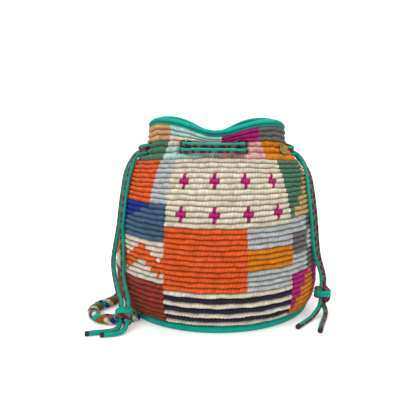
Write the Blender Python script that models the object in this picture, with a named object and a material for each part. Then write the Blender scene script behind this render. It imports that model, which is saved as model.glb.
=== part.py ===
"""A crocheted bucket bag with a double drawcord and a braided strap.

The bag stands on its round base. Z is up, the origin is the bottom centre of
the base, and the front faces -Y. Everything is in metres. An azimuth is an
angle seen from above, 0 at the front and growing towards +X.
"""
import math

import bpy
from mathutils import Vector

# Wall of the bag, as crocheted rounds stacked from the foot to the rim
FOOT_RADIUS = 0.1120
FOOT_HEIGHT = 0.0095
BELLY_RADIUS = 0.1200
BELLY_HEIGHT = 0.0580
SHOULDER_RADIUS = 0.0935
SHOULDER_HEIGHT = 0.1830
RIM_RADIUS = 0.0790
NECK_HEIGHT = 0.0345
NECK_TUCK = 2.5
WALL = 0.0050
ROW_RELIEF = 0.0009
BODY_ROWS = 32
NECK_ROWS = 6

# How the soft neck has settled
NECK_FLATTENING = 0.18
FLATTENING_START = 0.1200
SIDE_DROP = 0.0085
SIDE_SHARPNESS = 12.0
RIM_TILT = 0.0015
FRONT_DIP = 0.0130
BACK_DIP = 0.0190
DIP_CENTRE = -0.0020
DIP_HALF_WIDTH = 0.0320
RIM_DENT = 0.0060
GROOVE_DEPTH = 0.0120
GROOVE_HALF_WIDTH = 0.0240
GROOVE_HALF_HEIGHT = 0.0075

# Base, piping and rim edging
BASE_THICKNESS = 0.0050
BASE_RADIUS = 0.1030
INNER_FILLET = 0.0080
INNER_FOOT_ROW = 2.2
PIPING_WIDTH = 0.0080
PIPING_HEIGHT = 0.0085
EDGING_WIDTH = 0.0074
EDGING_HEIGHT = 0.0062
SEAT_GAP = 0.0003

# Drawcords: two cords, each threaded through all eight eyelets
CORD_DIAMETER = 0.0056
CORD_PAIR_GAP = 0.0006
EYELET_ROW = 33.8
EYELET_WIDTH = 0.0170
EYELET_HEIGHT = 0.0165
EYELETS = {
    "left_front": -69.0,
    "front_left": -26.0,
    "front_right": 19.5,
    "right_front": 86.0,
    "right_back": 110.0,
    "back_right": 155.0,
    "back_left": 205.0,
    "left_back": 256.0,
}
OUTER_LANE_GAP = 0.0034
INNER_LANE_GAP = 0.0036
LANE_CHANGE = 0.0190
FLOAT_ROLL = 32.0
FLOAT_ROLL_SPAN = (-26.0, -15.0, 8.0, 19.0)
TWISTS = ((32.0, 76.0), (114.0, 151.0))
TWIST_SPREAD = 1.30
JOINT_MARGIN = 0.10
TIP_LENGTH = 0.0042
KNOT_RADIUS = 0.0100
KNOT_LENGTH = 0.0170
KNOT_TURNS = 3
KNOT_ENTRY = 0.0035

# Strap, with one end knotted inside the back wall
STRAP_DIAMETER = 0.0120
STRAP_HOLE_ROW = 19.0
STRAP_HOLE_CLEARANCE = 0.0010
STRAP_KNOT_RADIUS = 0.0130
STRAP_KNOT_LENGTH = 0.0160
STRAP_KNOT_SAG = 0.0014

# Small round tag on the neck
DISC_DIAMETER = 0.0110
DISC_THICKNESS = 0.0012
DISC_AZIMUTH = 56.0
DISC_ROW = 33.4
DISC_EYE_RADIUS = 0.0011
DISC_SEAT = 0.0017
STITCH_RADIUS = 0.0005

# Fineness of the meshes
SEGMENTS = 36
RING_SEGMENTS = 48
THREADED_STEPS = 80
CUTTER_SIDES = 16
PIPING_SIDES = 8
INNER_RINGS = 8
INNER_NECK_RINGS = 12
KNOT_SEGMENTS = 12

# The two cord knots: centre, direction from where the cords go in to where the tails
# come out, and direction from the first cord to the second
LEFT_KNOT = (Vector((-0.1010, -0.0985, 0.0160)), Vector((0.00, -0.66, -0.75)).normalized(),
             Vector((-1.00, 0.05, -0.10)))
RIGHT_KNOT = (Vector((0.1205, -0.0560, 0.0270)), Vector((-0.05, -0.10, -0.99)).normalized(),
              Vector((0.50, 0.87, 0.0)))

# Routes of the hanging cords over the wall: azimuth in degrees, row, gap to the ridges
LEFT_CORD_ROUTES = (
    ((-74.8, 32.3, 0.0026), (-73.2, 31.2, 0.0014), (-69.8, 29.8, 0.0010), (-66.2, 27.6, 0.0010),
     (-63.4, 25.0, 0.0010), (-61.4, 21.5, 0.0003), (-60.6, 17.0, 0.0003), (-58.6, 13.0, 0.0003),
     (-57.4, 10.0, 0.0010), (-57.4, 7.6, 0.0020), (-52.0, 5.2, 0.0048)),
    ((-95.6, 32.3, 0.0030), (-91.0, 31.2, 0.0016), (-84.6, 29.8, 0.0012), (-75.0, 27.6, 0.0012),
     (-68.4, 25.0, 0.0012), (-65.0, 21.5, 0.0012), (-64.4, 17.0, 0.0014), (-65.0, 13.0, 0.0040),
     (-65.6, 9.5, 0.0062), (-62.6, 6.8, 0.0066), (-54.8, 4.5, 0.0104)),
)
RIGHT_CORD_ROUTES = (
    ((91.4, 32.3, 0.0026), (88.6, 31.2, 0.0014), (82.5, 29.8, 0.0010), (73.5, 27.8, 0.0010),
     (65.8, 25.2, 0.0010), (62.2, 21.5, 0.0003), (61.4, 17.5, 0.0003), (62.0, 13.5, 0.0003),
     (63.4, 10.4, 0.0026), (65.2, 7.8, 0.0066)),
    ((102.0, 32.3, 0.0030), (97.4, 31.2, 0.0016), (90.4, 29.8, 0.0012), (80.8, 27.8, 0.0012),
     (71.8, 25.2, 0.0012), (66.4, 21.5, 0.0012), (65.2, 17.5, 0.0012), (65.8, 13.5, 0.0012),
     (67.0, 10.4, 0.0028), (68.4, 7.8, 0.0066)),
)

# Tails below the knots, in metres, from the knot outwards
LEFT_TAIL_ROUTES = (
    ((-0.1010, -0.1142, 0.0033), (-0.1090, -0.1182, 0.0031), (-0.1185, -0.1200, 0.0031)),
    ((-0.1105, -0.1105, 0.0033), (-0.1190, -0.1125, 0.0031), (-0.1270, -0.1140, 0.0031),
     (-0.1350, -0.1165, 0.0031)),
)
RIGHT_TAIL_ROUTES = (
    ((0.1130, -0.0650, 0.0080), (0.1075, -0.0710, 0.0036), (0.1020, -0.0780, 0.0031),
     (0.0950, -0.0875, 0.0031), (0.0885, -0.0960, 0.0031)),
    ((0.1245, -0.0590, 0.0088), (0.1220, -0.0690, 0.0040), (0.1175, -0.0810, 0.0031),
     (0.1130, -0.0940, 0.0031), (0.1095, -0.1060, 0.0031)),
)

# Strap from the back wall down to the floor, round behind the bag and out at the left
STRAP_ROUTE = (
    (0.0000, 0.1382, 0.1136), (0.0001, 0.1485, 0.1058), (0.0004, 0.1538, 0.0904),
    (0.0014, 0.1530, 0.0750), (0.0034, 0.1495, 0.0590), (0.0070, 0.1455, 0.0430),
    (0.0140, 0.1420, 0.0270), (0.0260, 0.1400, 0.0145), (0.0430, 0.1395, 0.0076),
    (0.0640, 0.1400, 0.0062), (0.0950, 0.1410, 0.0062), (0.1250, 0.1470, 0.0062),
    (0.1470, 0.1660, 0.0062), (0.1510, 0.1930, 0.0062), (0.1380, 0.2170, 0.0062),
    (0.1100, 0.2290, 0.0062), (0.0650, 0.2280, 0.0062), (0.0150, 0.2220, 0.0062),
    (-0.0350, 0.2200, 0.0062), (-0.0830, 0.2210, 0.0062), (-0.1180, 0.2120, 0.0062),
    (-0.1390, 0.1890, 0.0062), (-0.1440, 0.1580, 0.0062), (-0.1390, 0.1250, 0.0062),
    (-0.1310, 0.0930, 0.0062), (-0.1235, 0.0620, 0.0062), (-0.1198, 0.0330, 0.0062),
    (-0.1194, 0.0080, 0.0062), (-0.1198, -0.0080, 0.0062), (-0.1230, -0.0220, 0.0062),
    (-0.1300, -0.0330, 0.0062), (-0.1385, -0.0440, 0.0062), (-0.1422, -0.0570, 0.0062),
    (-0.1395, -0.0700, 0.0062), (-0.1300, -0.0808, 0.0062), (-0.1170, -0.0855, 0.0062),
    (-0.1065, -0.0845, 0.0062), (-0.0970, -0.0797, 0.0062), (-0.0888, -0.0738, 0.0062),
)


def clear_scene():
    for thing in list(bpy.data.objects):
        bpy.data.objects.remove(thing, do_unlink=True)


def material(name, colour, roughness=0.85, metallic=0.0):
    made = bpy.data.materials.new(name)
    made.use_nodes = True
    shader = made.node_tree.nodes["Principled BSDF"]
    shader.inputs["Base Color"].default_value = (*colour, 1.0)
    shader.inputs["Roughness"].default_value = roughness
    shader.inputs["Metallic"].default_value = metallic
    made.diffuse_color = (*colour, 1.0)
    return made


def smooth_step(value):
    value = min(max(value, 0.0), 1.0)
    return value * value * (3.0 - 2.0 * value)


def body_radius(height):
    """Radius of the stuffed body, from the foot up to the shoulder."""
    if height < BELLY_HEIGHT:
        rise = (height - FOOT_HEIGHT) / (BELLY_HEIGHT - FOOT_HEIGHT)
        return FOOT_RADIUS + (BELLY_RADIUS - FOOT_RADIUS) * (1.0 - (1.0 - rise) ** 5.0)
    rise = min((height - BELLY_HEIGHT) / (SHOULDER_HEIGHT - BELLY_HEIGHT), 1.0)
    return SHOULDER_RADIUS + (BELLY_RADIUS - SHOULDER_RADIUS) * (1.0 - rise ** 2.2) ** 0.75


def body_profile(samples=600):
    """Radius and height at evenly spaced lengths along the body's outline."""
    heights = [FOOT_HEIGHT + (SHOULDER_HEIGHT - FOOT_HEIGHT) * i / samples for i in range(samples + 1)]
    points = [(body_radius(height), height) for height in heights]
    lengths = [0.0]
    for before, after in zip(points, points[1:]):
        lengths.append(lengths[-1] + math.dist(before, after))
    return points, lengths


BODY_POINTS, BODY_LENGTHS = body_profile()


def profile_at(row):
    """Radius and height of the undisturbed wall at a row, counted from the foot."""
    if row >= BODY_ROWS:
        rise = (row - BODY_ROWS) / NECK_ROWS
        radius = RIM_RADIUS + (SHOULDER_RADIUS - RIM_RADIUS) * max(1.0 - rise, 0.0) ** NECK_TUCK
        return radius, SHOULDER_HEIGHT + NECK_HEIGHT * rise
    wanted = BODY_LENGTHS[-1] * max(row, 0.0) / BODY_ROWS
    low, high = 0, len(BODY_LENGTHS) - 1
    while high - low > 1:
        middle = (low + high) // 2
        if BODY_LENGTHS[middle] <= wanted:
            low = middle
        else:
            high = middle
    share = (wanted - BODY_LENGTHS[low]) / (BODY_LENGTHS[high] - BODY_LENGTHS[low])
    first, last = BODY_POINTS[low], BODY_POINTS[high]
    return first[0] + (last[0] - first[0]) * share, first[1] + (last[1] - first[1]) * share


def wall_point(azimuth, row, inset=0.0, dented=True):
    """A point on the wall, inset from its outer face, at an azimuth in radians."""
    radius, height = profile_at(row)
    radius -= inset
    x = radius * math.sin(azimuth)
    settle = smooth_step((height - FLATTENING_START) / (SHOULDER_HEIGHT - FLATTENING_START))
    y = -radius * math.cos(azimuth) * (1.0 - NECK_FLATTENING * settle)
    neck = min(max((row - BODY_ROWS) / NECK_ROWS, 0.0), 1.0)
    sides = abs(math.sin(azimuth)) ** (2.0 + SIDE_SHARPNESS * neck)
    z = height - SIDE_DROP * settle * sides - RIM_TILT * neck * math.sin(azimuth)
    facing = math.cos(azimuth)
    if dented and abs(facing) > 0.3:
        towards_axis = 1.0 if facing > 0 else -1.0
        above = smooth_step((row - BODY_ROWS) / (EYELET_ROW - BODY_ROWS))
        groove = (profile_at(row)[1] - profile_at(EYELET_ROW)[1]) / GROOVE_HALF_HEIGHT
        pinch = math.exp(-(x / GROOVE_HALF_WIDTH) ** 2)
        y += towards_axis * pinch * (RIM_DENT * above + GROOVE_DEPTH * math.exp(-groove ** 2))
        rise = smooth_step((row - EYELET_ROW) / (BODY_ROWS + NECK_ROWS - EYELET_ROW))
        dip = FRONT_DIP if facing > 0 else BACK_DIP
        z -= dip * rise * math.exp(-((x - DIP_CENTRE) / DIP_HALF_WIDTH) ** 2)
    return Vector((x, y, z))


def wall_normal(azimuth, row, dented=False):
    """Outward normal of the wall."""
    step = 0.02
    along = wall_point(azimuth + step, row, dented=dented) - wall_point(azimuth - step, row, dented=dented)
    up = wall_point(azimuth, row + step, dented=dented) - wall_point(azimuth, row - step, dented=dented)
    return along.cross(up).normalized()


def level_normal(azimuth, row):
    """Outward direction of the wall in plan."""
    normal = wall_normal(azimuth, row)
    normal.z = 0.0
    return normal.normalized()


def over_wall(azimuth_degrees, row, gap):
    """Centre of a cord that runs over the wall with a gap to its ridges."""
    azimuth = math.radians(azimuth_degrees)
    reach = ROW_RELIEF + CORD_DIAMETER / 2 + gap
    return wall_point(azimuth, row, dented=False) + wall_normal(azimuth, row) * reach


def add_object(name, vertices, faces, look):
    mesh = bpy.data.meshes.new(name)
    mesh.from_pydata([tuple(vertex) for vertex in vertices], [], faces)
    mesh.validate()
    thing = bpy.data.objects.new(name, mesh)
    bpy.context.collection.objects.link(thing)
    mesh.materials.append(look)
    mesh.shade_smooth()
    return thing


def ring_faces(rings, count, closed):
    """Quads between neighbouring rings of count points each."""
    faces = []
    pairs = rings if closed else rings - 1
    for ring in range(pairs):
        upper = (ring + 1) % rings
        for i in range(count):
            j = (i + 1) % count
            faces.append((ring * count + i, ring * count + j, upper * count + j, upper * count + i))
    return faces


def level_ring(radius, height):
    turns = [2 * math.pi * i / SEGMENTS for i in range(SEGMENTS)]
    return [Vector((radius * math.sin(turn), -radius * math.cos(turn), height)) for turn in turns]


def inner_rows():
    """Rows of the inner face from the rim down: close together where the neck is pinched."""
    neck = BODY_ROWS + NECK_ROWS
    fine_end = BODY_ROWS - 2
    fine = [neck - (neck - fine_end) * i / INNER_NECK_RINGS for i in range(INNER_NECK_RINGS)]
    coarse = [fine_end + (INNER_FOOT_ROW - fine_end) * i / INNER_RINGS for i in range(INNER_RINGS + 1)]
    return fine + coarse


def field_names():
    return ("orange", "rust", "magenta", "mustard", "cream", "navy", "slate", "royal",
            "ochre", "dark_grey", "light_grey", "tan", "sage", "mint", "plum", "pink")


FIELD_COLOURS = {
    "orange": (0.80, 0.12, 0.02),
    "rust": (0.30, 0.06, 0.03),
    "magenta": (0.50, 0.02, 0.18),
    "mustard": (0.75, 0.24, 0.01),
    "cream": (0.74, 0.66, 0.50),
    "navy": (0.015, 0.015, 0.04),
    "slate": (0.06, 0.12, 0.20),
    "royal": (0.005, 0.03, 0.28),
    "ochre": (0.29, 0.12, 0.02),
    "dark_grey": (0.16, 0.15, 0.14),
    "light_grey": (0.48, 0.50, 0.50),
    "tan": (0.58, 0.34, 0.15),
    "sage": (0.08, 0.19, 0.12),
    "mint": (0.42, 0.66, 0.60),
    "plum": (0.10, 0.01, 0.05),
    "pink": (0.75, 0.36, 0.36),
}
COLUMNS = 184


def patchwork(column, row):
    """Name of the yarn colour at a stitch; column 0 is the middle of the front, row 0 is at the foot."""
    c = (column + COLUMNS // 2) % COLUMNS - COLUMNS // 2
    if row >= BODY_ROWS:
        return neck_yarn(c, row)
    if c < -62 or c >= 74:
        return back_yarn(c % COLUMNS, row)
    if c < -46:
        return left_yarn(c, row)
    if c < -14:
        return front_left_yarn(c, row)
    if c < 22:
        return front_middle_yarn(c, row)
    if c < 54:
        return front_right_yarn(c, row)
    return right_yarn(c, row)


def neck_yarn(c, r):
    if c < -68 or c >= 74:
        return "light_grey" if (c // 15) % 2 else "slate"
    if c < -46:
        return "light_grey" if r >= 35 else "orange"
    if c < -20:
        return "sage" if r < 35 else "tan"
    if c < 2:
        return "cream" if (r // 2) % 2 else "mint"
    if c < 18:
        return "pink" if r < 35 else "magenta"
    if c < 48:
        return "mustard" if r < 35 else "dark_grey"
    return "cream" if (c // 4) % 2 else "navy"


def back_yarn(c, r):
    if r < 8:
        return "magenta" if (c // 6 + r // 2) % 2 else "mustard"
    if r < 17:
        return ("orange", "rust", "royal")[(c // 16) % 3]
    if r < 25:
        return "sage" if (c + 2 * ((r - 17) // 2)) % 20 < 10 else "tan"
    return ("light_grey", "mint", "orange")[(c // 22) % 3]


def left_yarn(c, r):
    if r < 9:
        return "cream" if (r // 2) % 2 else "pink"
    if r < 20:
        return "tan" if c < -55 else "dark_grey"
    return "cream" if (r // 2) % 2 else "navy"


def front_left_yarn(c, r):
    if r < 8:
        return "rust"
    if r < 16:
        height = 9.0 + 0.5 * abs((c + 46) % 12 - 6)
        return "orange" if height <= r < height + 3 else "cream"
    if r < 23:
        return "royal" if c < -38 + 3 * (r - 16) else "slate"
    return "orange" if c < -20 else "light_grey"


def front_middle_yarn(c, r):
    if r < 7:
        return "navy" if r % 2 else "cream"
    if r < 19:
        if c < 8:
            return "orange"
        return "mustard" if (r - 7) // 4 % 2 else "light_grey"
    across, up = (c + 14) % 9, (r - 20) % 6
    arm = (across == 4 and 0 <= up <= 2) or (up == 1 and 3 <= across <= 5)
    return "magenta" if arm and 20 <= r < 32 else "cream"


def front_right_yarn(c, r):
    if r < 9:
        peak = 7 - abs((c - 22) % 16 - 8)
        return "mustard" if r // 2 * 2 <= peak + 1 else "magenta"
    if r < 20:
        return "dark_grey" if ((c - 22) // 7 + (r - 9) // 4) % 2 else "light_grey"
    step = 3 * ((r - 20) // 2)
    if c < 24 + step:
        return "sage"
    return "tan" if c < 34 + step else "rust"


def right_yarn(c, r):
    if r < 9:
        return "slate" if c < 58 + 2 * r else "mint"
    if r < 20:
        return "orange"
    return ("magenta", "tan", "plum", "tan")[((c - 54) // 3) % 4]


def make_bag_body():
    """The base and the ridged wall, crocheted as one piece, with its eyelets."""
    top_row = BODY_ROWS + NECK_ROWS
    vertices = []
    for step in range(2 * top_row + 1):
        row = step / 2.0
        relief = ROW_RELIEF if step % 2 else 0.0
        for i in range(SEGMENTS):
            azimuth = 2 * math.pi * i / SEGMENTS
            vertices.append(wall_point(azimuth, row, -relief))
    rows = inner_rows()
    for row in rows:
        for i in range(SEGMENTS):
            vertices.append(wall_point(2 * math.pi * i / SEGMENTS, row, WALL))
    vertices += level_ring(BASE_RADIUS - INNER_FILLET, BASE_THICKNESS)
    rings = 2 * top_row + 1 + len(rows) + 1
    faces = ring_faces(rings, SEGMENTS, closed=False)
    inner_floor = list(range((rings - 1) * SEGMENTS, rings * SEGMENTS))
    faces.append(tuple(inner_floor))
    vertices += level_ring(BASE_RADIUS, FOOT_HEIGHT) + level_ring(BASE_RADIUS, 0.0)
    recess, bottom = rings * SEGMENTS, (rings + 1) * SEGMENTS
    for i in range(SEGMENTS):
        j = (i + 1) % SEGMENTS
        faces.append((recess + i, recess + j, j, i))
        faces.append((bottom + i, bottom + j, recess + j, recess + i))
    faces.append(tuple(reversed(range(bottom, bottom + SEGMENTS))))
    body = add_object("bag_body", vertices, faces, material("cream", FIELD_COLOURS["cream"]))
    slots = {"cream": 0}
    for name in field_names():
        if name not in slots:
            slots[name] = len(slots)
            body.data.materials.append(material(name, FIELD_COLOURS[name]))
    for ring in range(2 * top_row):
        for i in range(SEGMENTS):
            column = round((i + 0.5) / SEGMENTS * COLUMNS)
            body.data.polygons[ring * SEGMENTS + i].material_index = slots[patchwork(column, ring // 2)]
    for name, azimuth in EYELETS.items():
        cut(body, eyelet_cutter(name + "_eyelet_cutter", azimuth))
    cut(body, strap_hole_cutter())
    return body


def cut(body, cutter):
    cutter.hide_render = True
    cutter.display_type = "WIRE"
    boolean = body.modifiers.new(cutter.name, "BOOLEAN")
    boolean.operation = "DIFFERENCE"
    boolean.solver = "EXACT"
    boolean.object = cutter


def prism(name, centre, direction, width, height, length, squareness):
    """A prism with a rounded rectangle as its section, along a direction."""
    across = direction.cross(Vector((0, 0, 1))).normalized()
    upwards = across.cross(direction).normalized()
    count = CUTTER_SIDES
    vertices = []
    for end in (-0.5, 0.5):
        for i in range(count):
            turn = 2 * math.pi * (i + 0.5) / count
            side = math.copysign(abs(math.cos(turn)) ** (1.0 / squareness), math.cos(turn))
            rise = math.copysign(abs(math.sin(turn)) ** (1.0 / squareness), math.sin(turn))
            offset = across * (side * width / 2) + upwards * (rise * height / 2)
            vertices.append(centre + direction * (end * length) + offset)
    faces = [tuple(range(count)), tuple(reversed(range(count, 2 * count)))]
    for i in range(count):
        j = (i + 1) % count
        faces.append((i, count + i, count + j, j))
    return add_object(name, vertices, faces, material(name, (0.5, 0.5, 0.5)))


def eyelet_cutter(name, azimuth_degrees):
    azimuth = math.radians(azimuth_degrees)
    centre = wall_point(azimuth, EYELET_ROW, WALL / 2, dented=False)
    return prism(name, centre, level_normal(azimuth, EYELET_ROW), EYELET_WIDTH, EYELET_HEIGHT, 7 * WALL, 2.0)


def strap_hole():
    """Middle of the wall where the strap goes through at the back, and the way out."""
    return wall_point(math.pi, STRAP_HOLE_ROW, WALL / 2), wall_normal(math.pi, STRAP_HOLE_ROW)


def strap_hole_cutter():
    width = STRAP_DIAMETER + 2 * STRAP_HOLE_CLEARANCE
    centre, outward = strap_hole()
    return prism("strap_hole_cutter", centre, outward, width, width, 6 * WALL, 1.0)


def swept_ring(name, frames, profile, look):
    """A closed ring: a profile of (out, up) pairs carried round a loop of frames."""
    vertices = []
    for centre, outward, upward in frames:
        for out, up in profile:
            vertices.append(centre + outward * out + upward * up)
    faces = []
    count, rings = len(profile), len(frames)
    for ring in range(rings):
        nxt = (ring + 1) % rings
        for i in range(count):
            j = (i + 1) % count
            faces.append((ring * count + i, nxt * count + i, nxt * count + j, ring * count + j))
    return add_object(name, vertices, faces, look)


def make_rim_edging(look):
    """Two crocheted ridges round the mouth, seated on the wall's upper edge."""
    top_row = BODY_ROWS + NECK_ROWS
    frames = []
    for i in range(RING_SEGMENTS):
        azimuth = 2 * math.pi * i / RING_SEGMENTS
        edge = wall_point(azimuth, top_row, WALL / 2)
        frames.append((edge, level_normal(azimuth, top_row), Vector((0, 0, 1))))
    half, low = EDGING_WIDTH / 2, SEAT_GAP + 0.0004
    high = low + EDGING_HEIGHT
    waist = (low + high) / 2
    profile = ((half * 0.6, low), (half * 0.95, low + 0.0012), (half * 0.78, waist), (half, high - 0.0018),
               (half * 0.6, high), (-half * 0.6, high), (-half, high - 0.0018), (-half * 0.85, low + 0.0008),
               (-half * 0.5, low))
    return swept_ring("rim_edging", frames, profile, look)


def make_base_piping(look):
    """A piped cord round the foot, in the recess under the wall."""
    inner = BASE_RADIUS + SEAT_GAP
    half = PIPING_WIDTH / 2
    profile = []
    for i in range(PIPING_SIDES):
        turn = 2 * math.pi * i / PIPING_SIDES
        profile.append((inner + half + half * math.cos(turn), PIPING_HEIGHT / 2 * (1.0 + math.sin(turn))))
    frames = []
    for i in range(RING_SEGMENTS):
        azimuth = 2 * math.pi * i / RING_SEGMENTS
        outward = Vector((math.sin(azimuth), -math.cos(azimuth), 0.0))
        frames.append((Vector((0, 0, 0)), outward, Vector((0, 0, 1))))
    return swept_ring("base_piping", frames, profile, look)


def smooth_route(points, spacing):
    """Points every spacing metres on a smooth curve through the given points."""
    points = [Vector(point) for point in points]
    padded = [2 * points[0] - points[1]] + points + [2 * points[-1] - points[-2]]
    fine = []
    for i in range(1, len(padded) - 2):
        p0, p1, p2, p3 = padded[i - 1:i + 3]
        for step in range(24):
            t = step / 24
            fine.append(0.5 * (2 * p1 + (p2 - p0) * t + (2 * p0 - 5 * p1 + 4 * p2 - p3) * t ** 2
                               + (3 * p1 - p0 - 3 * p2 + p3) * t ** 3))
    fine.append(points[-1])
    lengths = [0.0]
    for before, after in zip(fine, fine[1:]):
        lengths.append(lengths[-1] + (after - before).length)
    count = max(2, round(lengths[-1] / spacing))
    route, index = [], 0
    for step in range(count + 1):
        wanted = lengths[-1] * step / count
        while index < len(lengths) - 2 and lengths[index + 1] < wanted:
            index += 1
        share = (wanted - lengths[index]) / max(lengths[index + 1] - lengths[index], 1e-9)
        route.append(fine[index].lerp(fine[index + 1], share))
    return route


def cord(name, route, diameter, look, bevel_resolution=2):
    """A plain round cord with closed ends along a list of points."""
    curve = bpy.data.curves.new(name, "CURVE")
    curve.dimensions = "3D"
    curve.bevel_depth = diameter / 2
    curve.bevel_resolution = bevel_resolution
    curve.use_fill_caps = True
    spline = curve.splines.new("POLY")
    spline.points.add(len(route) - 1)
    for point, place in zip(spline.points, route):
        point.co = (*place, 1.0)
    curve.materials.append(look)
    thing = bpy.data.objects.new(name, curve)
    bpy.context.collection.objects.link(thing)
    return thing


def lane_offset(azimuth_degrees):
    """Offset of the threaded cords from the middle of the wall: outside at the floats, inside between."""
    stops = sorted(EYELETS.values())
    outside_reach = WALL / 2 + ROW_RELIEF + CORD_DIAMETER / 2 + OUTER_LANE_GAP
    inside_reach = WALL / 2 + CORD_DIAMETER / 2 + INNER_LANE_GAP
    half = math.degrees(LANE_CHANGE / 2 / profile_at(EYELET_ROW)[0])
    turn = (azimuth_degrees - stops[0]) % 360.0 + stops[0]
    side = 1.0
    offset = outside_reach
    for stop in stops:
        share = smooth_step((turn - stop + half) / (2 * half))
        side = -side
        target = outside_reach if side > 0 else -inside_reach
        offset += (target - offset) * share
    wrap = smooth_step((turn - stops[0] - 360.0 + half) / (2 * half))
    return offset + (-inside_reach - offset) * wrap


def pair_turn(azimuth_degrees):
    """Angle that the pair of threaded cords has turned about each other."""
    first_stop = min(EYELETS.values())
    turn = (azimuth_degrees - first_stop) % 360.0 + first_stop
    begin, rolled, unrolled, end = FLOAT_ROLL_SPAN
    roll = smooth_step((turn - begin) / (rolled - begin)) - smooth_step((turn - unrolled) / (end - unrolled))
    half_turns = sum(smooth_step((turn - first) / (last - first)) for first, last in TWISTS)
    return math.pi * half_turns - math.radians(FLOAT_ROLL) * roll


def threaded_point(azimuth_degrees, level):
    """Centre of a threaded cord; level is 1 for the upper of the pair in front and -1 for the lower."""
    azimuth = math.radians(azimuth_degrees)
    apart = (CORD_DIAMETER + CORD_PAIR_GAP) / 2
    turned = pair_turn(azimuth_degrees)
    lift = apart * level * math.cos(turned)
    middle = wall_point(azimuth, EYELET_ROW, WALL / 2, dented=False)
    beside = wall_point(azimuth, EYELET_ROW + lift * NECK_ROWS / NECK_HEIGHT, WALL / 2, dented=False)
    outward = level_normal(azimuth, EYELET_ROW)
    sideways = TWIST_SPREAD * apart * (level * math.sin(turned) - abs(math.sin(turned)))
    lean = (beside - middle).dot(outward) * math.cos(turned) ** 4
    return middle + outward * (lane_offset(azimuth_degrees) + sideways + lean) + Vector((0, 0, lift))


def make_threaded(name, start, stop, level, look):
    """The part of a drawcord that is held in the eyelets, from one exit round to the other."""
    span = stop - start - 2 * JOINT_MARGIN
    turns = [start + JOINT_MARGIN + span * i / THREADED_STEPS for i in range(THREADED_STEPS + 1)]
    route = [threaded_point(turn, level) for turn in turns]
    return cord(name, route, CORD_DIAMETER, look)


def knot(name, centre, axis, radius, length, turns, look):
    """A knot as a turned solid whose ridges are the wraps of cord."""
    side = axis.cross(Vector((0.3, 0.9, 0.2))).normalized()
    other = axis.cross(side).normalized()
    steps = 4 * turns
    profile = []
    for i in range(steps + 1):
        t = i / steps
        ridge = 0.86 + 0.14 * abs(math.sin(math.pi * turns * t))
        crown = (1.0 - abs(2 * t - 1.0) ** 3.0) * 0.34 + 0.66
        profile.append(((t - 0.5) * length, radius * ridge * crown))
    vertices, faces = [], []
    for along, reach in profile:
        for i in range(KNOT_SEGMENTS):
            turn = 2 * math.pi * i / KNOT_SEGMENTS
            vertices.append(centre + axis * along + (side * math.cos(turn) + other * math.sin(turn)) * reach)
    faces = ring_faces(len(profile), KNOT_SEGMENTS, closed=False)
    faces.append(tuple(reversed(range(KNOT_SEGMENTS))))
    faces.append(tuple(range((len(profile) - 1) * KNOT_SEGMENTS, len(profile) * KNOT_SEGMENTS)))
    return add_object(name, vertices, faces, look)


def knot_sides(centre, axis, spread):
    """Where the two cords enter a knot and where its two tails leave it."""
    across = (spread - axis * spread.dot(axis)).normalized() * KNOT_ENTRY
    reach = axis * (KNOT_LENGTH / 2 + SEAT_GAP)
    return [(centre - reach + across * side, centre + reach + across * side) for side in (-1, 1)]


def make_hanging_cord(name, eyelet_degrees, level, turn, route, entry, axis, look):
    """A cord from the middle of its eyelet, down over the wall and into its knot."""
    leaving = [eyelet_degrees + turn * step for step in (JOINT_MARGIN, 1.6, 3.2, 5.2)]
    points = [threaded_point(step, level) for step in leaving] + [over_wall(*stop) for stop in route]
    points += [entry - axis * 0.0070, entry]
    return cord(name, smooth_route(points, 1.3 * CORD_DIAMETER), CORD_DIAMETER, look)


def make_tail(name, leave, axis, stops, look, tip_look):
    """A loose end below a knot, with its dark bound tip."""
    points = [leave, leave + axis * 0.0060] + [Vector(stop) for stop in stops]
    route = smooth_route(points, 1.2 * CORD_DIAMETER)
    cord(name, route, CORD_DIAMETER, look)
    onward = (route[-1] - route[-2]).normalized()
    start = route[-1] + onward * SEAT_GAP
    cord(name.replace("tail", "tip"), [start, start + onward * TIP_LENGTH], CORD_DIAMETER, tip_look)


def make_strap(look, knot_look):
    """The braided strap, and the knot that holds its end inside the back wall."""
    hole, outward = strap_hole()
    knot_face = hole - outward * (WALL / 2 + STRAP_KNOT_SAG)
    knot("strap_inner_knot", knot_face - outward * (STRAP_KNOT_LENGTH / 2), outward,
         STRAP_KNOT_RADIUS, STRAP_KNOT_LENGTH, 2, knot_look)
    start = knot_face + outward * SEAT_GAP
    points = [start, start + outward * (2 * WALL), start + outward * (3 * WALL)]
    points += [Vector(stop) for stop in STRAP_ROUTE]
    return cord("strap", smooth_route(points, 0.75 * STRAP_DIAMETER), STRAP_DIAMETER, look, 3)


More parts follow.
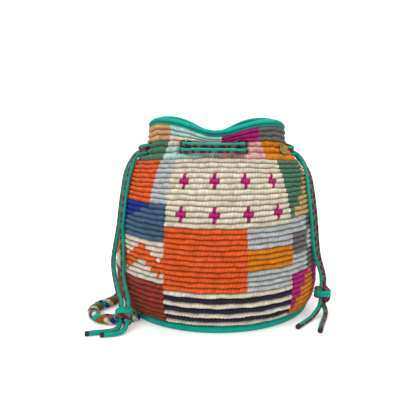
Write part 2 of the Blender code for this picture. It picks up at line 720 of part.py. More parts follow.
def make_disc(look, thread_look):
    """The plain metal disc with its eye, and the thread that sews it to the neck."""
    azimuth = math.radians(DISC_AZIMUTH)
    normal = wall_normal(azimuth, DISC_ROW)
    face = wall_point(azimuth, DISC_ROW, dented=False) + normal * (ROW_RELIEF + DISC_SEAT)
    across = Vector((0, 0, 1)).cross(normal).normalized()
    upward = normal.cross(across)
    count = 24
    radius = DISC_DIAMETER / 2
    eye_centre = upward * (radius - 2 * DISC_EYE_RADIUS)
    vertices = []
    for depth in (0.0, DISC_THICKNESS):
        for reach, middle in ((radius, Vector()), (DISC_EYE_RADIUS, eye_centre)):
            for i in range(count):
                turn = 2 * math.pi * i / count
                vertices.append(face + normal * depth + middle + across * (reach * math.cos(turn))
                                + upward * (reach * math.sin(turn)))
    faces = []
    for i in range(count):
        j = (i + 1) % count
        outer_back, eye_back, outer_front, eye_front = 0, count, 2 * count, 3 * count
        faces.append((outer_back + i, outer_back + j, outer_front + j, outer_front + i))
        faces.append((eye_back + j, eye_back + i, eye_front + i, eye_front + j))
        faces.append((outer_front + i, outer_front + j, eye_front + j, eye_front + i))
        faces.append((outer_back + j, outer_back + i, eye_back + i, eye_back + j))
    disc = add_object("brass_disc", vertices, faces, look)
    disc.data.set_sharp_from_angle(angle=math.radians(40))
    eye = face + eye_centre + normal * (DISC_THICKNESS / 2)
    reach = DISC_THICKNESS / 2 + STITCH_RADIUS + 0.0003
    rise = upward * (2 * DISC_EYE_RADIUS + STITCH_RADIUS + 0.0005)
    loop = [eye - normal * reach, eye, eye + normal * reach, eye + normal * reach + rise,
            eye + rise * 1.1, eye - normal * reach + rise]
    cord("disc_stitch", smooth_route(loop, 0.0006), 2 * STITCH_RADIUS, thread_look)
    return disc


def build():
    clear_scene()
    teal = material("teal_edging", (0.0, 0.40, 0.29))
    cord_look = material("drawcord", (0.0, 0.37, 0.28))
    tip_look = material("bound_tip", (0.03, 0.03, 0.035))
    strap_look = material("braided_strap", (0.34, 0.20, 0.05))
    brass = material("brass", (0.42, 0.28, 0.10), 0.38, 1.0)
    thread = material("sewing_thread", (0.55, 0.45, 0.30))
    make_bag_body()
    make_rim_edging(teal)
    make_base_piping(material("teal_piping", (0.0, 0.38, 0.29)))
    stops = EYELETS
    make_threaded("drawcord_left_threaded", stops["left_front"], stops["left_back"], -1, cord_look)
    make_threaded("drawcord_right_threaded", stops["right_back"], stops["right_front"] + 360, 1, cord_look)
    sides = (
        ("left", LEFT_KNOT, LEFT_CORD_ROUTES, LEFT_TAIL_ROUTES, (("left_front", -1), ("left_back", 1)), -1),
        ("right", RIGHT_KNOT, RIGHT_CORD_ROUTES, RIGHT_TAIL_ROUTES, (("right_front", 1), ("right_back", -1)), 1),
    )
    for side, (centre, axis, spread), routes, tails, exits, level in sides:
        knot(side + "_knot", centre, axis, KNOT_RADIUS, KNOT_LENGTH, KNOT_TURNS, cord_look)
        openings = knot_sides(centre, axis, spread)
        for number, (route, tail, (eyelet, turn)) in enumerate(zip(routes, tails, exits), start=1):
            entry, leave = openings[number - 1]
            make_hanging_cord(f"{side}_cord_{number}", stops[eyelet], level, turn, route, entry, axis, cord_look)
            make_tail(f"{side}_tail_{number}", leave, axis, tail, cord_look, tip_look)
    make_strap(strap_look, strap_look)
    make_disc(brass, thread)


build()
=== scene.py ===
import math

import bmesh
import bpy
import numpy as np
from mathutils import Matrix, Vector


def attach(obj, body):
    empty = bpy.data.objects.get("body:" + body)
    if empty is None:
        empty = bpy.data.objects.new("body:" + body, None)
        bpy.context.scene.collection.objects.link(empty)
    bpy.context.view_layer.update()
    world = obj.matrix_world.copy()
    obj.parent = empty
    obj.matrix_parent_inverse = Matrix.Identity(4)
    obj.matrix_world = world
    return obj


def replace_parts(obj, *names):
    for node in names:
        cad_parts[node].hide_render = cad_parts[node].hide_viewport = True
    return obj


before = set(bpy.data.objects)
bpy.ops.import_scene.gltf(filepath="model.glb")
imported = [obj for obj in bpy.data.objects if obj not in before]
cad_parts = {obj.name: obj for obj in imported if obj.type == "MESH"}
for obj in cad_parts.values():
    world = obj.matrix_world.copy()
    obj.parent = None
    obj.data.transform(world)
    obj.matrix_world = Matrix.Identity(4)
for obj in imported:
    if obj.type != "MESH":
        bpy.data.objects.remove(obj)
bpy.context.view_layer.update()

RNG = np.random.default_rng(7)

# Sizes shared with the part's source
FOOT_RADIUS = 0.1120
FOOT_HEIGHT = 0.0095
BELLY_RADIUS = 0.1200
BELLY_HEIGHT = 0.0580
SHOULDER_RADIUS = 0.0935
SHOULDER_HEIGHT = 0.1830
RIM_RADIUS = 0.0790
NECK_HEIGHT = 0.0345
NECK_TUCK = 2.5
WALL = 0.0050
ROW_RELIEF = 0.0009
BODY_ROWS = 32
NECK_ROWS = 6
ALL_ROWS = BODY_ROWS + NECK_ROWS
NECK_FLATTENING = 0.18
FLATTENING_START = 0.1200
SIDE_DROP = 0.0085
SIDE_SHARPNESS = 12.0
RIM_TILT = 0.0015
FRONT_DIP = 0.0130
BACK_DIP = 0.0190
DIP_CENTRE = -0.0020
DIP_HALF_WIDTH = 0.0320
RIM_DENT = 0.0060
GROOVE_DEPTH = 0.0120
GROOVE_HALF_WIDTH = 0.0240
GROOVE_HALF_HEIGHT = 0.0075
BASE_THICKNESS = 0.0050
BASE_RADIUS = 0.1030
INNER_FILLET = 0.0080
INNER_FOOT_ROW = 2.2
PIPING_WIDTH = 0.0080
PIPING_HEIGHT = 0.0085
EDGING_WIDTH = 0.0074
EDGING_HEIGHT = 0.0062
SEAT_GAP = 0.0003
CORD_DIAMETER = 0.0056
CORD_PAIR_GAP = 0.0006
EYELET_ROW = 33.8
EYELET_WIDTH = 0.0170
EYELET_HEIGHT = 0.0165
EYELETS = {
    "left_front": -69.0, "front_left": -26.0, "front_right": 19.5, "right_front": 86.0,
    "right_back": 110.0, "back_right": 155.0, "back_left": 205.0, "left_back": 256.0,
}
OUTER_LANE_GAP = 0.0034
INNER_LANE_GAP = 0.0036
LANE_CHANGE = 0.0190
FLOAT_ROLL = 32.0
FLOAT_ROLL_SPAN = (-26.0, -15.0, 8.0, 19.0)
TWISTS = ((32.0, 76.0), (114.0, 151.0))
TWIST_SPREAD = 1.30
JOINT_MARGIN = 0.10
TIP_LENGTH = 0.0042
KNOT_RADIUS = 0.0100
KNOT_LENGTH = 0.0170
KNOT_ENTRY = 0.0035
STRAP_DIAMETER = 0.0120
STRAP_HOLE_ROW = 19.0
STRAP_HOLE_CLEARANCE = 0.0010
STRAP_KNOT_RADIUS = 0.0130
STRAP_KNOT_LENGTH = 0.0160
STRAP_KNOT_SAG = 0.0014
DISC_DIAMETER = 0.0110
DISC_THICKNESS = 0.0012
DISC_AZIMUTH = 56.0
DISC_ROW = 33.4
DISC_EYE_RADIUS = 0.0011
DISC_SEAT = 0.0017
COLUMNS = 184

# Sizes of this model alone
DISC_SWING = 18.0
SHEAR = 0.34
RIB_SINK = 0.0012
RIB_HEIGHT = 0.0024
STITCH_GROOVE = 0.00072
STITCH_BULGE = 0.00016
FOOT_SINK = 0.0004
HOLE_LINING = 0.0010
HOLE_REACH = 0.0300
FLOOR_EDGE_RADIUS = BASE_RADIUS + 0.0060
FLOOR_EDGE_HEIGHT = 0.0193
EDGING_WAIST = -0.18
CORD_STITCH = 0.0030
BRAID_PITCH = 0.0270
CAP_SHARE = 0.05
CAP_LENGTH = 0.0002

# Waves round the wall: size, count round the bag, and change from row to row
RIB_WANDER = ((0.055, 27.0, 1.0), (0.045, 61.0, 2.3))
RIB_WOBBLE = ((0.00020, 23.0, 1.7), (0.00022, 9.0, -2.3))
ROW_SWAY = ((0.050, 19.0, 1.1), (0.035, 43.0, -1.9))

# Distances between the points of a path
ROUTE_SPACING = 0.0012
CORD_SPACING = 0.0008
COIL_SPACING = 0.0007

# Camera and light
CAMERA_PLACE = (-0.0104, -0.669, 0.239)
CAMERA_TILT = 10.5
FOCAL_PIXELS = 560.0
PICTURE_PIXELS = 416.0
SENSOR_WIDTH = 36.0
FLOOR_GLOW = 0.30
WORLD_LIGHT = 0.56
WORLD_SEEN = 1.0

# Knots as place, direction and spread, then the stops of each cord
LEFT_KNOT =(Vector((-0.1010, -0.0985, 0.0160)), Vector((0.00, -0.66, -0.75)).normalized(),
             Vector((-1.00, 0.05, -0.10)))
RIGHT_KNOT = (Vector((0.1205, -0.0560, 0.0270)), Vector((-0.05, -0.10, -0.99)).normalized(),
              Vector((0.50, 0.87, 0.0)))
LEFT_CORD_ROUTES = (
    ((-74.8, 32.3, 0.0026), (-73.2, 31.2, 0.0014), (-69.8, 29.8, 0.0010), (-66.2, 27.6, 0.0010),
     (-63.4, 25.0, 0.0010), (-61.4, 21.5, 0.0003), (-60.6, 17.0, 0.0003), (-58.6, 13.0, 0.0003),
     (-57.4, 10.0, 0.0010), (-57.4, 7.6, 0.0020), (-52.0, 5.2, 0.0048)),
    ((-95.6, 32.3, 0.0030), (-91.0, 31.2, 0.0016), (-84.6, 29.8, 0.0012), (-75.0, 27.6, 0.0012),
     (-68.4, 25.0, 0.0012), (-65.0, 21.5, 0.0012), (-64.4, 17.0, 0.0014), (-65.0, 13.0, 0.0040),
     (-65.6, 9.5, 0.0062), (-62.6, 6.8, 0.0066), (-54.8, 4.5, 0.0104)),
)
RIGHT_CORD_ROUTES = (
    ((91.4, 32.3, 0.0026), (88.6, 31.2, 0.0014), (82.5, 29.8, 0.0010), (73.5, 27.8, 0.0010),
     (65.8, 25.2, 0.0010), (62.2, 21.5, 0.0003), (61.4, 17.5, 0.0003), (62.0, 13.5, 0.0003),
     (63.4, 10.4, 0.0026), (65.2, 7.8, 0.0066)),
    ((102.0, 32.3, 0.0030), (97.4, 31.2, 0.0016), (90.4, 29.8, 0.0012), (80.8, 27.8, 0.0012),
     (71.8, 25.2, 0.0012), (66.4, 21.5, 0.0012), (65.2, 17.5, 0.0012), (65.8, 13.5, 0.0012),
     (67.0, 10.4, 0.0028), (68.4, 7.8, 0.0066)),
)
LEFT_TAIL_ROUTES = (
    ((-0.1010, -0.1142, 0.0033), (-0.1090, -0.1182, 0.0031), (-0.1185, -0.1200, 0.0031)),
    ((-0.1105, -0.1105, 0.0033), (-0.1190, -0.1125, 0.0031), (-0.1270, -0.1140, 0.0031),
     (-0.1350, -0.1165, 0.0031)),
)
RIGHT_TAIL_ROUTES = (
    ((0.1130, -0.0650, 0.0080), (0.1075, -0.0710, 0.0036), (0.1020, -0.0780, 0.0031),
     (0.0950, -0.0875, 0.0031), (0.0885, -0.0960, 0.0031)),
    ((0.1245, -0.0590, 0.0088), (0.1220, -0.0690, 0.0040), (0.1175, -0.0810, 0.0031),
     (0.1130, -0.0940, 0.0031), (0.1095, -0.1060, 0.0031)),
)
STRAP_ROUTE = (
    (0.0000, 0.1382, 0.1136), (0.0001, 0.1485, 0.1058), (0.0004, 0.1538, 0.0904),
    (0.0014, 0.1530, 0.0750), (0.0034, 0.1495, 0.0590), (0.0070, 0.1455, 0.0430),
    (0.0140, 0.1420, 0.0270), (0.0260, 0.1400, 0.0145), (0.0430, 0.1395, 0.0076),
    (0.0640, 0.1400, 0.0062), (0.0950, 0.1410, 0.0062), (0.1250, 0.1470, 0.0062),
    (0.1470, 0.1660, 0.0062), (0.1510, 0.1930, 0.0062), (0.1380, 0.2170, 0.0062),
    (0.1100, 0.2290, 0.0062), (0.0650, 0.2280, 0.0062), (0.0150, 0.2220, 0.0062),
    (-0.0350, 0.2200, 0.0062), (-0.0830, 0.2210, 0.0062), (-0.1180, 0.2120, 0.0062),
    (-0.1390, 0.1890, 0.0062), (-0.1440, 0.1580, 0.0062), (-0.1390, 0.1250, 0.0062),
    (-0.1310, 0.0930, 0.0062), (-0.1235, 0.0620, 0.0062), (-0.1198, 0.0330, 0.0062),
    (-0.1194, 0.0080, 0.0062), (-0.1198, -0.0080, 0.0062), (-0.1230, -0.0220, 0.0062),
    (-0.1300, -0.0330, 0.0062), (-0.1385, -0.0440, 0.0062), (-0.1422, -0.0570, 0.0062),
    (-0.1395, -0.0700, 0.0062), (-0.1300, -0.0808, 0.0062), (-0.1170, -0.0855, 0.0062),
    (-0.1065, -0.0845, 0.0062), (-0.0970, -0.0797, 0.0062), (-0.0888, -0.0738, 0.0062),
)

# Yarn colours, linear
YARN = {
    "teal": (0.000, 0.390, 0.270),
    "orange": (0.800, 0.110, 0.018),
    "rust": (0.300, 0.042, 0.022),
    "magenta": (0.480, 0.012, 0.170),
    "mustard": (0.720, 0.215, 0.004),
    "cream": (0.740, 0.660, 0.510),
    "navy": (0.016, 0.016, 0.042),
    "slate": (0.058, 0.125, 0.210),
    "royal": (0.003, 0.026, 0.290),
    "ochre": (0.290, 0.115, 0.012),
    "dark_grey": (0.150, 0.145, 0.135),
    "light_grey": (0.480, 0.510, 0.500),
    "tan": (0.600, 0.350, 0.150),
    "sage": (0.072, 0.190, 0.115),
    "mint": (0.420, 0.670, 0.610),
    "plum": (0.100, 0.006, 0.052),
    "pink": (0.750, 0.360, 0.360),
}
EDGING_TEAL = (0.000, 0.430, 0.315)
PIPING_TEAL = (0.000, 0.410, 0.300)
BINDING_BLACK = (0.030, 0.026, 0.026)
BRASS = (0.270, 0.190, 0.055)


# Shape of the wall and the ways along it

def full_turn(count):
    """Angles of so many even steps round a whole turn."""
    return 2 * math.pi * np.arange(count) / count


def smooth_step(value):
    value = np.clip(value, 0.0, 1.0)
    return value * value * (3.0 - 2.0 * value)


def body_radius(height):
    rise = np.clip((height - FOOT_HEIGHT) / (BELLY_HEIGHT - FOOT_HEIGHT), 0.0, 1.0)
    lower = FOOT_RADIUS + (BELLY_RADIUS - FOOT_RADIUS) * (1.0 - (1.0 - rise) ** 5.0)
    rise = np.clip((height - BELLY_HEIGHT) / (SHOULDER_HEIGHT - BELLY_HEIGHT), 0.0, 1.0)
    upper = SHOULDER_RADIUS + (BELLY_RADIUS - SHOULDER_RADIUS) * (1.0 - rise ** 2.2) ** 0.75
    return np.where(height < BELLY_HEIGHT, lower, upper)


PROFILE_HEIGHTS = np.linspace(FOOT_HEIGHT, SHOULDER_HEIGHT, 601)
PROFILE_RADII = body_radius(PROFILE_HEIGHTS)
PROFILE_LENGTHS = np.concatenate(
    ([0.0], np.cumsum(np.hypot(np.diff(PROFILE_HEIGHTS), np.diff(PROFILE_RADII)))))


def profile_at(row):
    """Radius and height of the undisturbed wall at a row, counted from the foot."""
    row = np.asarray(row, dtype=float)
    wanted = PROFILE_LENGTHS[-1] * np.clip(row, 0.0, BODY_ROWS) / BODY_ROWS
    low_radius = np.interp(wanted, PROFILE_LENGTHS, PROFILE_RADII)
    low_height = np.interp(wanted, PROFILE_LENGTHS, PROFILE_HEIGHTS)
    rise = np.clip((row - BODY_ROWS) / NECK_ROWS, 0.0, 1.2)
    neck_radius = RIM_RADIUS + (SHOULDER_RADIUS - RIM_RADIUS) * np.clip(1.0 - rise, 0.0, 1.0) ** NECK_TUCK
    neck_height = SHOULDER_HEIGHT + NECK_HEIGHT * rise
    above = row >= BODY_ROWS
    return np.where(above, neck_radius, low_radius), np.where(above, neck_height, low_height)


def wall_points(azimuth, row, inset=0.0, dented=True):
    """Points on the wall for arrays of azimuths in radians and rows."""
    azimuth, row = np.broadcast_arrays(np.asarray(azimuth, dtype=float), np.asarray(row, dtype=float))
    radius, height = profile_at(row)
    radius = radius - inset
    x = radius * np.sin(azimuth)
    settle = smooth_step((height - FLATTENING_START) / (SHOULDER_HEIGHT - FLATTENING_START))
    y = -radius * np.cos(azimuth) * (1.0 - NECK_FLATTENING * settle)
    neck = np.clip((row - BODY_ROWS) / NECK_ROWS, 0.0, 1.0)
    sides = np.abs(np.sin(azimuth)) ** (2.0 + SIDE_SHARPNESS * neck)
    z = height - SIDE_DROP * settle * sides - RIM_TILT * neck * np.sin(azimuth)
    if dented:
        facing = np.cos(azimuth)
        towards_axis = np.where(facing > 0, 1.0, -1.0)
        above = smooth_step((row - BODY_ROWS) / (EYELET_ROW - BODY_ROWS))
        groove = (height - profile_at(EYELET_ROW)[1]) / GROOVE_HALF_HEIGHT
        pinch = np.where(np.abs(facing) > 0.3, np.exp(-(x / GROOVE_HALF_WIDTH) ** 2), 0.0)
        y = y + towards_axis * pinch * (RIM_DENT * above + GROOVE_DEPTH * np.exp(-groove ** 2))
        rise = smooth_step((row - EYELET_ROW) / (ALL_ROWS - EYELET_ROW))
        dip = np.where(facing > 0, FRONT_DIP, BACK_DIP)
        hollow = dip * rise * np.exp(-((x - DIP_CENTRE) / DIP_HALF_WIDTH) ** 2)
        z = z - np.where(np.abs(facing) > 0.3, hollow, 0.0)
    return np.stack((x, y, z), axis=-1)


def wall_normals(azimuth, row, dented=False):
    step = 0.02
    along = wall_points(azimuth + step, row, 0.0, dented) - wall_points(azimuth - step, row, 0.0, dented)
    up = wall_points(azimuth, row + step, 0.0, dented) - wall_points(azimuth, row - step, 0.0, dented)
    normal = np.cross(along, up)
    return normal / np.linalg.norm(normal, axis=-1, keepdims=True)


def level_normals(azimuth, row):
    normal = wall_normals(azimuth, row)
    normal[..., 2] = 0.0
    return normal / np.linalg.norm(normal, axis=-1, keepdims=True)


def over_wall(azimuth_degrees, row, gap):
    """The middle of a cord that hangs so far off the wall."""
    azimuth = math.radians(azimuth_degrees)
    reach = ROW_RELIEF + CORD_DIAMETER / 2 + gap
    return Vector(wall_points(azimuth, row, 0.0, False) + wall_normals(azimuth, row) * reach)


def lane_offset(azimuth_degrees):
    """How far the threaded cords run outside the middle of the wall, below nought where inside it."""
    stops = sorted(EYELETS.values())
    outside_reach = WALL / 2 + ROW_RELIEF + CORD_DIAMETER / 2 + OUTER_LANE_GAP
    inside_reach = WALL / 2 + CORD_DIAMETER / 2 + INNER_LANE_GAP
    half = math.degrees(LANE_CHANGE / 2 / float(profile_at(EYELET_ROW)[0]))
    turn = (azimuth_degrees - stops[0]) % 360.0 + stops[0]
    side = 1.0
    offset = outside_reach
    for stop in stops:
        share = float(smooth_step((turn - stop + half) / (2 * half)))
        side = -side
        target = outside_reach if side > 0 else -inside_reach
        offset += (target - offset) * share
    wrap = float(smooth_step((turn - stops[0] - 360.0 + half) / (2 * half)))
    return offset + (-inside_reach - offset) * wrap


def pair_turn(azimuth_degrees):
    """How far the two threaded cords are turned round each other, in radians."""
    first_stop = min(EYELETS.values())
    turn = (azimuth_degrees - first_stop) % 360.0 + first_stop
    begin, rolled, unrolled, end = FLOAT_ROLL_SPAN
    roll = smooth_step((turn - begin) / (rolled - begin)) - smooth_step((turn - unrolled) / (end - unrolled))
    half_turns = sum(float(smooth_step((turn - first) / (last - first))) for first, last in TWISTS)
    return math.pi * half_turns - math.radians(FLOAT_ROLL) * float(roll)


def threaded_point(azimuth_degrees, level):
    """The middle of a threaded cord, the lower one for a level of -1 and the upper for 1."""
    azimuth = math.radians(azimuth_degrees)
    apart = (CORD_DIAMETER + CORD_PAIR_GAP) / 2
    turned = pair_turn(azimuth_degrees)
    lift = apart * level * math.cos(turned)
    middle = wall_points(azimuth, EYELET_ROW, WALL / 2, False)
    beside = wall_points(azimuth, EYELET_ROW + lift * NECK_ROWS / NECK_HEIGHT, WALL / 2, False)
    outward = level_normals(azimuth, EYELET_ROW)
    sideways = TWIST_SPREAD * apart * (level * math.sin(turned) - abs(math.sin(turned)))
    lean = float(np.dot(beside - middle, outward)) * math.cos(turned) ** 4
    reach = lane_offset(azimuth_degrees) + sideways + lean
    return Vector(middle + outward * reach) + Vector((0, 0, lift))


def smooth_route(points, spacing):
    """Points every spacing metres on a smooth curve through the given points."""
    points = [Vector(point) for point in points]
    padded = [2 * points[0] - points[1]] + points + [2 * points[-1] - points[-2]]
    fine = []
    for i in range(1, len(padded) - 2):
        p0, p1, p2, p3 = padded[i - 1:i + 3]
        for step in range(24):
            t = step / 24
            fine.append(0.5 * (2 * p1 + (p2 - p0) * t + (2 * p0 - 5 * p1 + 4 * p2 - p3) * t ** 2
                               + (3 * p1 - p0 - 3 * p2 + p3) * t ** 3))
    fine.append(points[-1])
    return resampled(fine, spacing)


def resampled(fine, spacing):
    line = np.array([tuple(point) for point in fine])
    lengths = np.concatenate(([0.0], np.cumsum(np.linalg.norm(np.diff(line, axis=0), axis=1))))
    count = max(2, round(lengths[-1] / spacing))
    wanted = np.linspace(0.0, lengths[-1], count + 1)
    return np.stack([np.interp(wanted, lengths, line[:, axis]) for axis in range(3)], axis=-1)


# Materials

def add_node(tree, kind, values=None, wires=None, operation=None):
    """A shader node with its values set and its inputs joined to the sockets given."""
    node = tree.nodes.new("ShaderNode" + kind)
    if operation:
        node.operation = operation
    for socket, value in (values or {}).items():
        node.inputs[socket].default_value = value
    for socket, source in (wires or {}).items():
        tree.links.new(source, node.inputs[socket])
    return node


def add_bump(tree, noise, strength, distance, shader):
    bump = add_node(tree, "Bump", {"Strength": strength, "Distance": distance},
                    {"Height": noise.outputs["Fac"]})
    tree.links.new(bump.outputs["Normal"], shader.inputs["Normal"])


def new_material(name, values):
    """A material with its node tree and its shader, which has the values set."""
    made = bpy.data.materials.new(name)
    made.use_nodes = True
    shader = made.node_tree.nodes["Principled BSDF"]
    for socket, value in values.items():
        shader.inputs[socket].default_value = value
    return made, made.node_tree, shader


def yarn_material(name, tint=(1.0, 1.0, 1.0), scale=1.0, roughness=0.90, sheen=0.07, fibre=0.7):
    """Cotton yarn: the stitch colours from the mesh, broken up by fibres and twist."""
    made, tree, shader = new_material(name, {
        "Roughness": roughness, "Sheen Weight": sheen, "Sheen Roughness": 0.55, "Specular IOR Level": 0.12,
    })
    colour = add_node(tree, "VertexColor")
    colour.layer_name = "yarn"
    place = {"Vector": add_node(tree, "TexCoord").outputs["Object"]}
    fibres = add_node(tree, "TexNoise", {"Scale": 900.0 * scale, "Detail": 3.0, "Roughness": 0.65}, place)
    patches = add_node(tree, "TexNoise", {"Scale": 95.0 * scale, "Detail": 2.0}, place)
    both = add_node(tree, "Math", {1: 0.55}, {0: fibres.outputs["Fac"], 2: patches.outputs["Fac"]},
                    "MULTIPLY_ADD")
    spread = add_node(tree, "MapRange", {"From Min": 0.45, "From Max": 1.10, "To Min": 0.80, "To Max": 1.16},
                      {"Value": both.outputs["Value"]})
    mix = add_node(tree, "VectorMath", {}, {0: colour.outputs["Color"], "Scale": spread.outputs["Result"]},
                   "SCALE")
    tinted = add_node(tree, "VectorMath", {1: tint}, {0: mix.outputs["Vector"]}, "MULTIPLY")
    tree.links.new(tinted.outputs["Vector"], shader.inputs["Base Color"])
    add_bump(tree, fibres, fibre, 0.0006, shader)
    return made


def metal_material(name, colour, roughness, grain, grain_scale):
    """Bare metal whose colour and roughness vary a little with its grain."""
    made, tree, shader = new_material(name, {"Metallic": 1.0})
    place = {"Vector": add_node(tree, "TexCoord").outputs["Object"]}
    noise = add_node(tree, "TexNoise", {"Scale": grain_scale, "Detail": 4.0}, place)
    wires = {"Value": noise.outputs["Fac"]}
    rough = add_node(tree, "MapRange", {"To Min": roughness - 0.10, "To Max": roughness + 0.12}, wires)
    tree.links.new(rough.outputs["Result"], shader.inputs["Roughness"])
    shade = add_node(tree, "MapRange", {"To Min": 0.78, "To Max": 1.18}, wires)
    mix = add_node(tree, "VectorMath", {0: colour}, {"Scale": shade.outputs["Result"]}, "SCALE")
    tree.links.new(mix.outputs["Vector"], shader.inputs["Base Color"])
    add_bump(tree, noise, grain, 0.0003, shader)
    return made


# Mesh helpers

def add_object(name, data):
    made = bpy.data.objects.new(name, data)
    bpy.context.collection.objects.link(made)
    return made


def grid_piece(name, points, colours, look, closed_v=False, keep=None):
    """A mesh from a grid of points [v][u], closed along u, with one colour per corner, all faces outwards."""
    rings, count = points.shape[:2]
    vertices = points.reshape(-1, 3)
    v, u = np.meshgrid(np.arange(rings if closed_v else rings - 1), np.arange(count), indexing="ij")
    u2, v2 = (u + 1) % count, (v + 1) % rings
    quads = np.stack((v * count + u, v * count + u2, v2 * count + u2, v2 * count + u), axis=-1)
    quads, corner = quads.reshape(-1, 4), colours[v, u].reshape(-1, 4, 3)
    if keep is not None:
        kept = keep.reshape(-1)
        quads, corner = quads[kept], corner[kept]
    mesh = bpy.data.meshes.new(name)
    mesh.vertices.add(len(vertices))
    mesh.vertices.foreach_set("co", np.ascontiguousarray(vertices, dtype=np.float32).ravel())
    mesh.loops.add(quads.size)
    mesh.loops.foreach_set("vertex_index", quads.astype(np.int32).ravel())
    mesh.polygons.add(len(quads))
    mesh.polygons.foreach_set("loop_start", np.arange(0, quads.size, 4, dtype=np.int32))
    mesh.update(calc_edges=True)
    layer = mesh.color_attributes.new("yarn", "FLOAT_COLOR", "CORNER")
    alpha = np.ones(corner.shape[:2] + (1,))
    layer.data.foreach_set("color", np.concatenate((corner, alpha), axis=-1).astype(np.float32).ravel())
    mesh.shade_smooth()
    thing = add_object(name, mesh)
    mesh.materials.append(look)
    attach(thing, "root")
    return thing


def corner_colours(faces, shade_v0, shade_v1):
    """Corner colours from one colour per face and the shading at its lower and upper edge."""
    lower, upper = faces * shade_v0[..., None], faces * shade_v1[..., None]
    return np.stack((lower, lower, upper, upper), axis=2)


def loop_corners(shades):
    """Corner colours from one colour per point of a grid that closes along u."""
    beside = np.roll(shades, -1, axis=1)
    return np.stack((shades, beside, np.roll(beside, -1, axis=0), np.roll(shades, -1, axis=0)), axis=2)


# Patchwork of the crocheted wall

def yarn_at(column, row):
    """Yarn colour at a stitch; column 0 is the middle of the front, row 0 is at the foot."""
    c = (column + COLUMNS // 2) % COLUMNS - COLUMNS // 2
    if row >= BODY_ROWS:
        return neck_yarn(c, row)
    if c < -62 or c >= 74:
        return back_yarn(c % COLUMNS, row)
    if c < -46:
        return left_yarn(c, row)
    if c < -14:
        return front_left_yarn(c, row)
    if c < 22:
        return front_middle_yarn(c, row)
    if c < 54:
        return front_right_yarn(c, row)
    return right_yarn(c, row)


def neck_yarn(c, r):
    if c < -68 or c >= 74:
        return "light_grey" if (c // 15) % 2 else "slate"
    if c < -46:
        return "light_grey" if r >= 35 else "orange"
    if c < -20:
        return "sage" if r < 35 else "tan"
    if c < 2:
        return "cream" if (r // 2) % 2 else "mint"
    if c < 18:
        return "pink" if r < 35 else "magenta"
    if c < 48:
        return "mustard" if r < 35 else "dark_grey"
    return "cream" if (c // 4) % 2 else "navy"


def back_yarn(c, r):
    if r < 8:
        return "magenta" if (c // 6 + r // 2) % 2 else "mustard"
    if r < 17:
        return ("orange", "rust", "royal")[(c // 16) % 3]
    if r < 25:
        return "sage" if (c + 2 * ((r - 17) // 2)) % 20 < 10 else "tan"
    return ("light_grey", "mint", "orange")[(c // 22) % 3]


def left_yarn(c, r):
    if r < 9:
        return "cream" if (r // 2) % 2 else "pink"
    if r < 20:
        return "tan" if c < -55 else "dark_grey"
    return "cream" if (r // 2) % 2 else "navy"


def front_left_yarn(c, r):
    if r < 8:
        return "rust"
    if r < 16:
        height = 9.0 + 0.5 * abs((c + 46) % 12 - 6)
        return "orange" if height <= r < height + 3 else "cream"
    if r < 23:
        return "royal" if c < -38 + 3 * (r - 16) else "slate"
    return "orange" if c < -20 else "light_grey"


def front_middle_yarn(c, r):
    if r < 7:
        return "navy" if r % 2 else "cream"
    if r < 19:
        if c < 8:
            return "orange"
        return "mustard" if (r - 7) // 4 % 2 else "light_grey"
    across, up = (c + 14) % 9, (r - 20) % 6
    arm = (across == 4 and 0 <= up <= 2) or (up == 1 and 3 <= across <= 5)
    return "magenta" if arm and 20 <= r < 32 else "cream"


def front_right_yarn(c, r):
    if r < 9:
        peak = 7 - abs((c - 22) % 16 - 8)
        return "mustard" if r // 2 * 2 <= peak + 1 else "magenta"
    if r < 20:
        return "dark_grey" if ((c - 22) // 7 + (r - 9) // 4) % 2 else "light_grey"
    step = 3 * ((r - 20) // 2)
    if c < 24 + step:
        return "sage"
    return "tan" if c < 34 + step else "rust"


def right_yarn(c, r):
    if r < 9:
        return "slate" if c < 58 + 2 * r else "mint"
    if r < 20:
        return "orange"
    return ("magenta", "tan", "plum", "tan")[((c - 54) // 3) % 4]


def stitch_colours():
    """Colour of each stitch, with the slight differences of hand-worked yarn."""
    colours = np.zeros((ALL_ROWS, COLUMNS, 3))
    for row in range(ALL_ROWS):
        for i in range(COLUMNS):
            colours[row, i] = YARN[yarn_at(i, row)]
    colours *= RNG.normal(1.0, 0.075, (ALL_ROWS, COLUMNS, 1)).clip(0.80, 1.16)
    return colours * RNG.normal(1.0, 0.030, (ALL_ROWS, 1, 1)).clip(0.92, 1.08)


STITCHES = stitch_colours()


# Wall, inside and base

def outside_hole(points, azimuth, row, width, height, power):
    """Which points lie outside a hole through the wall, round for a power of 2 and squarer above it."""
    outward = level_normals(azimuth, row)
    across = np.cross(outward, (0.0, 0.0, 1.0))
    away = points - wall_points(azimuth, row, WALL / 2, False)
    side = np.abs(away @ across) / (width / 2)
    rise = np.abs(away[..., 2]) / (height / 2)
    return (side ** power + rise ** power > 1.0) | (away @ outward <= -HOLE_REACH)


def open_faces(points, shrink):
    """Which faces of a wall grid stay, with the eyelets and the strap hole left open."""
    middles = (points[:-1] + points[1:]) / 2
    middles = (middles + np.roll(middles, -1, axis=1)) / 2
    width = STRAP_DIAMETER + 2 * STRAP_HOLE_CLEARANCE
    keep = outside_hole(middles, math.pi, STRAP_HOLE_ROW, width, width * 1.05, 2.0)
    for azimuth in EYELETS.values():
        keep &= outside_hole(middles, math.radians(azimuth), EYELET_ROW,
                             EYELET_WIDTH - shrink, EYELET_HEIGHT - shrink, 4.0)
    return keep


def two_waves(azimuth, shift, waves):
    return sum(size * np.sin(azimuth * count + shift * change) for size, count, change in waves)


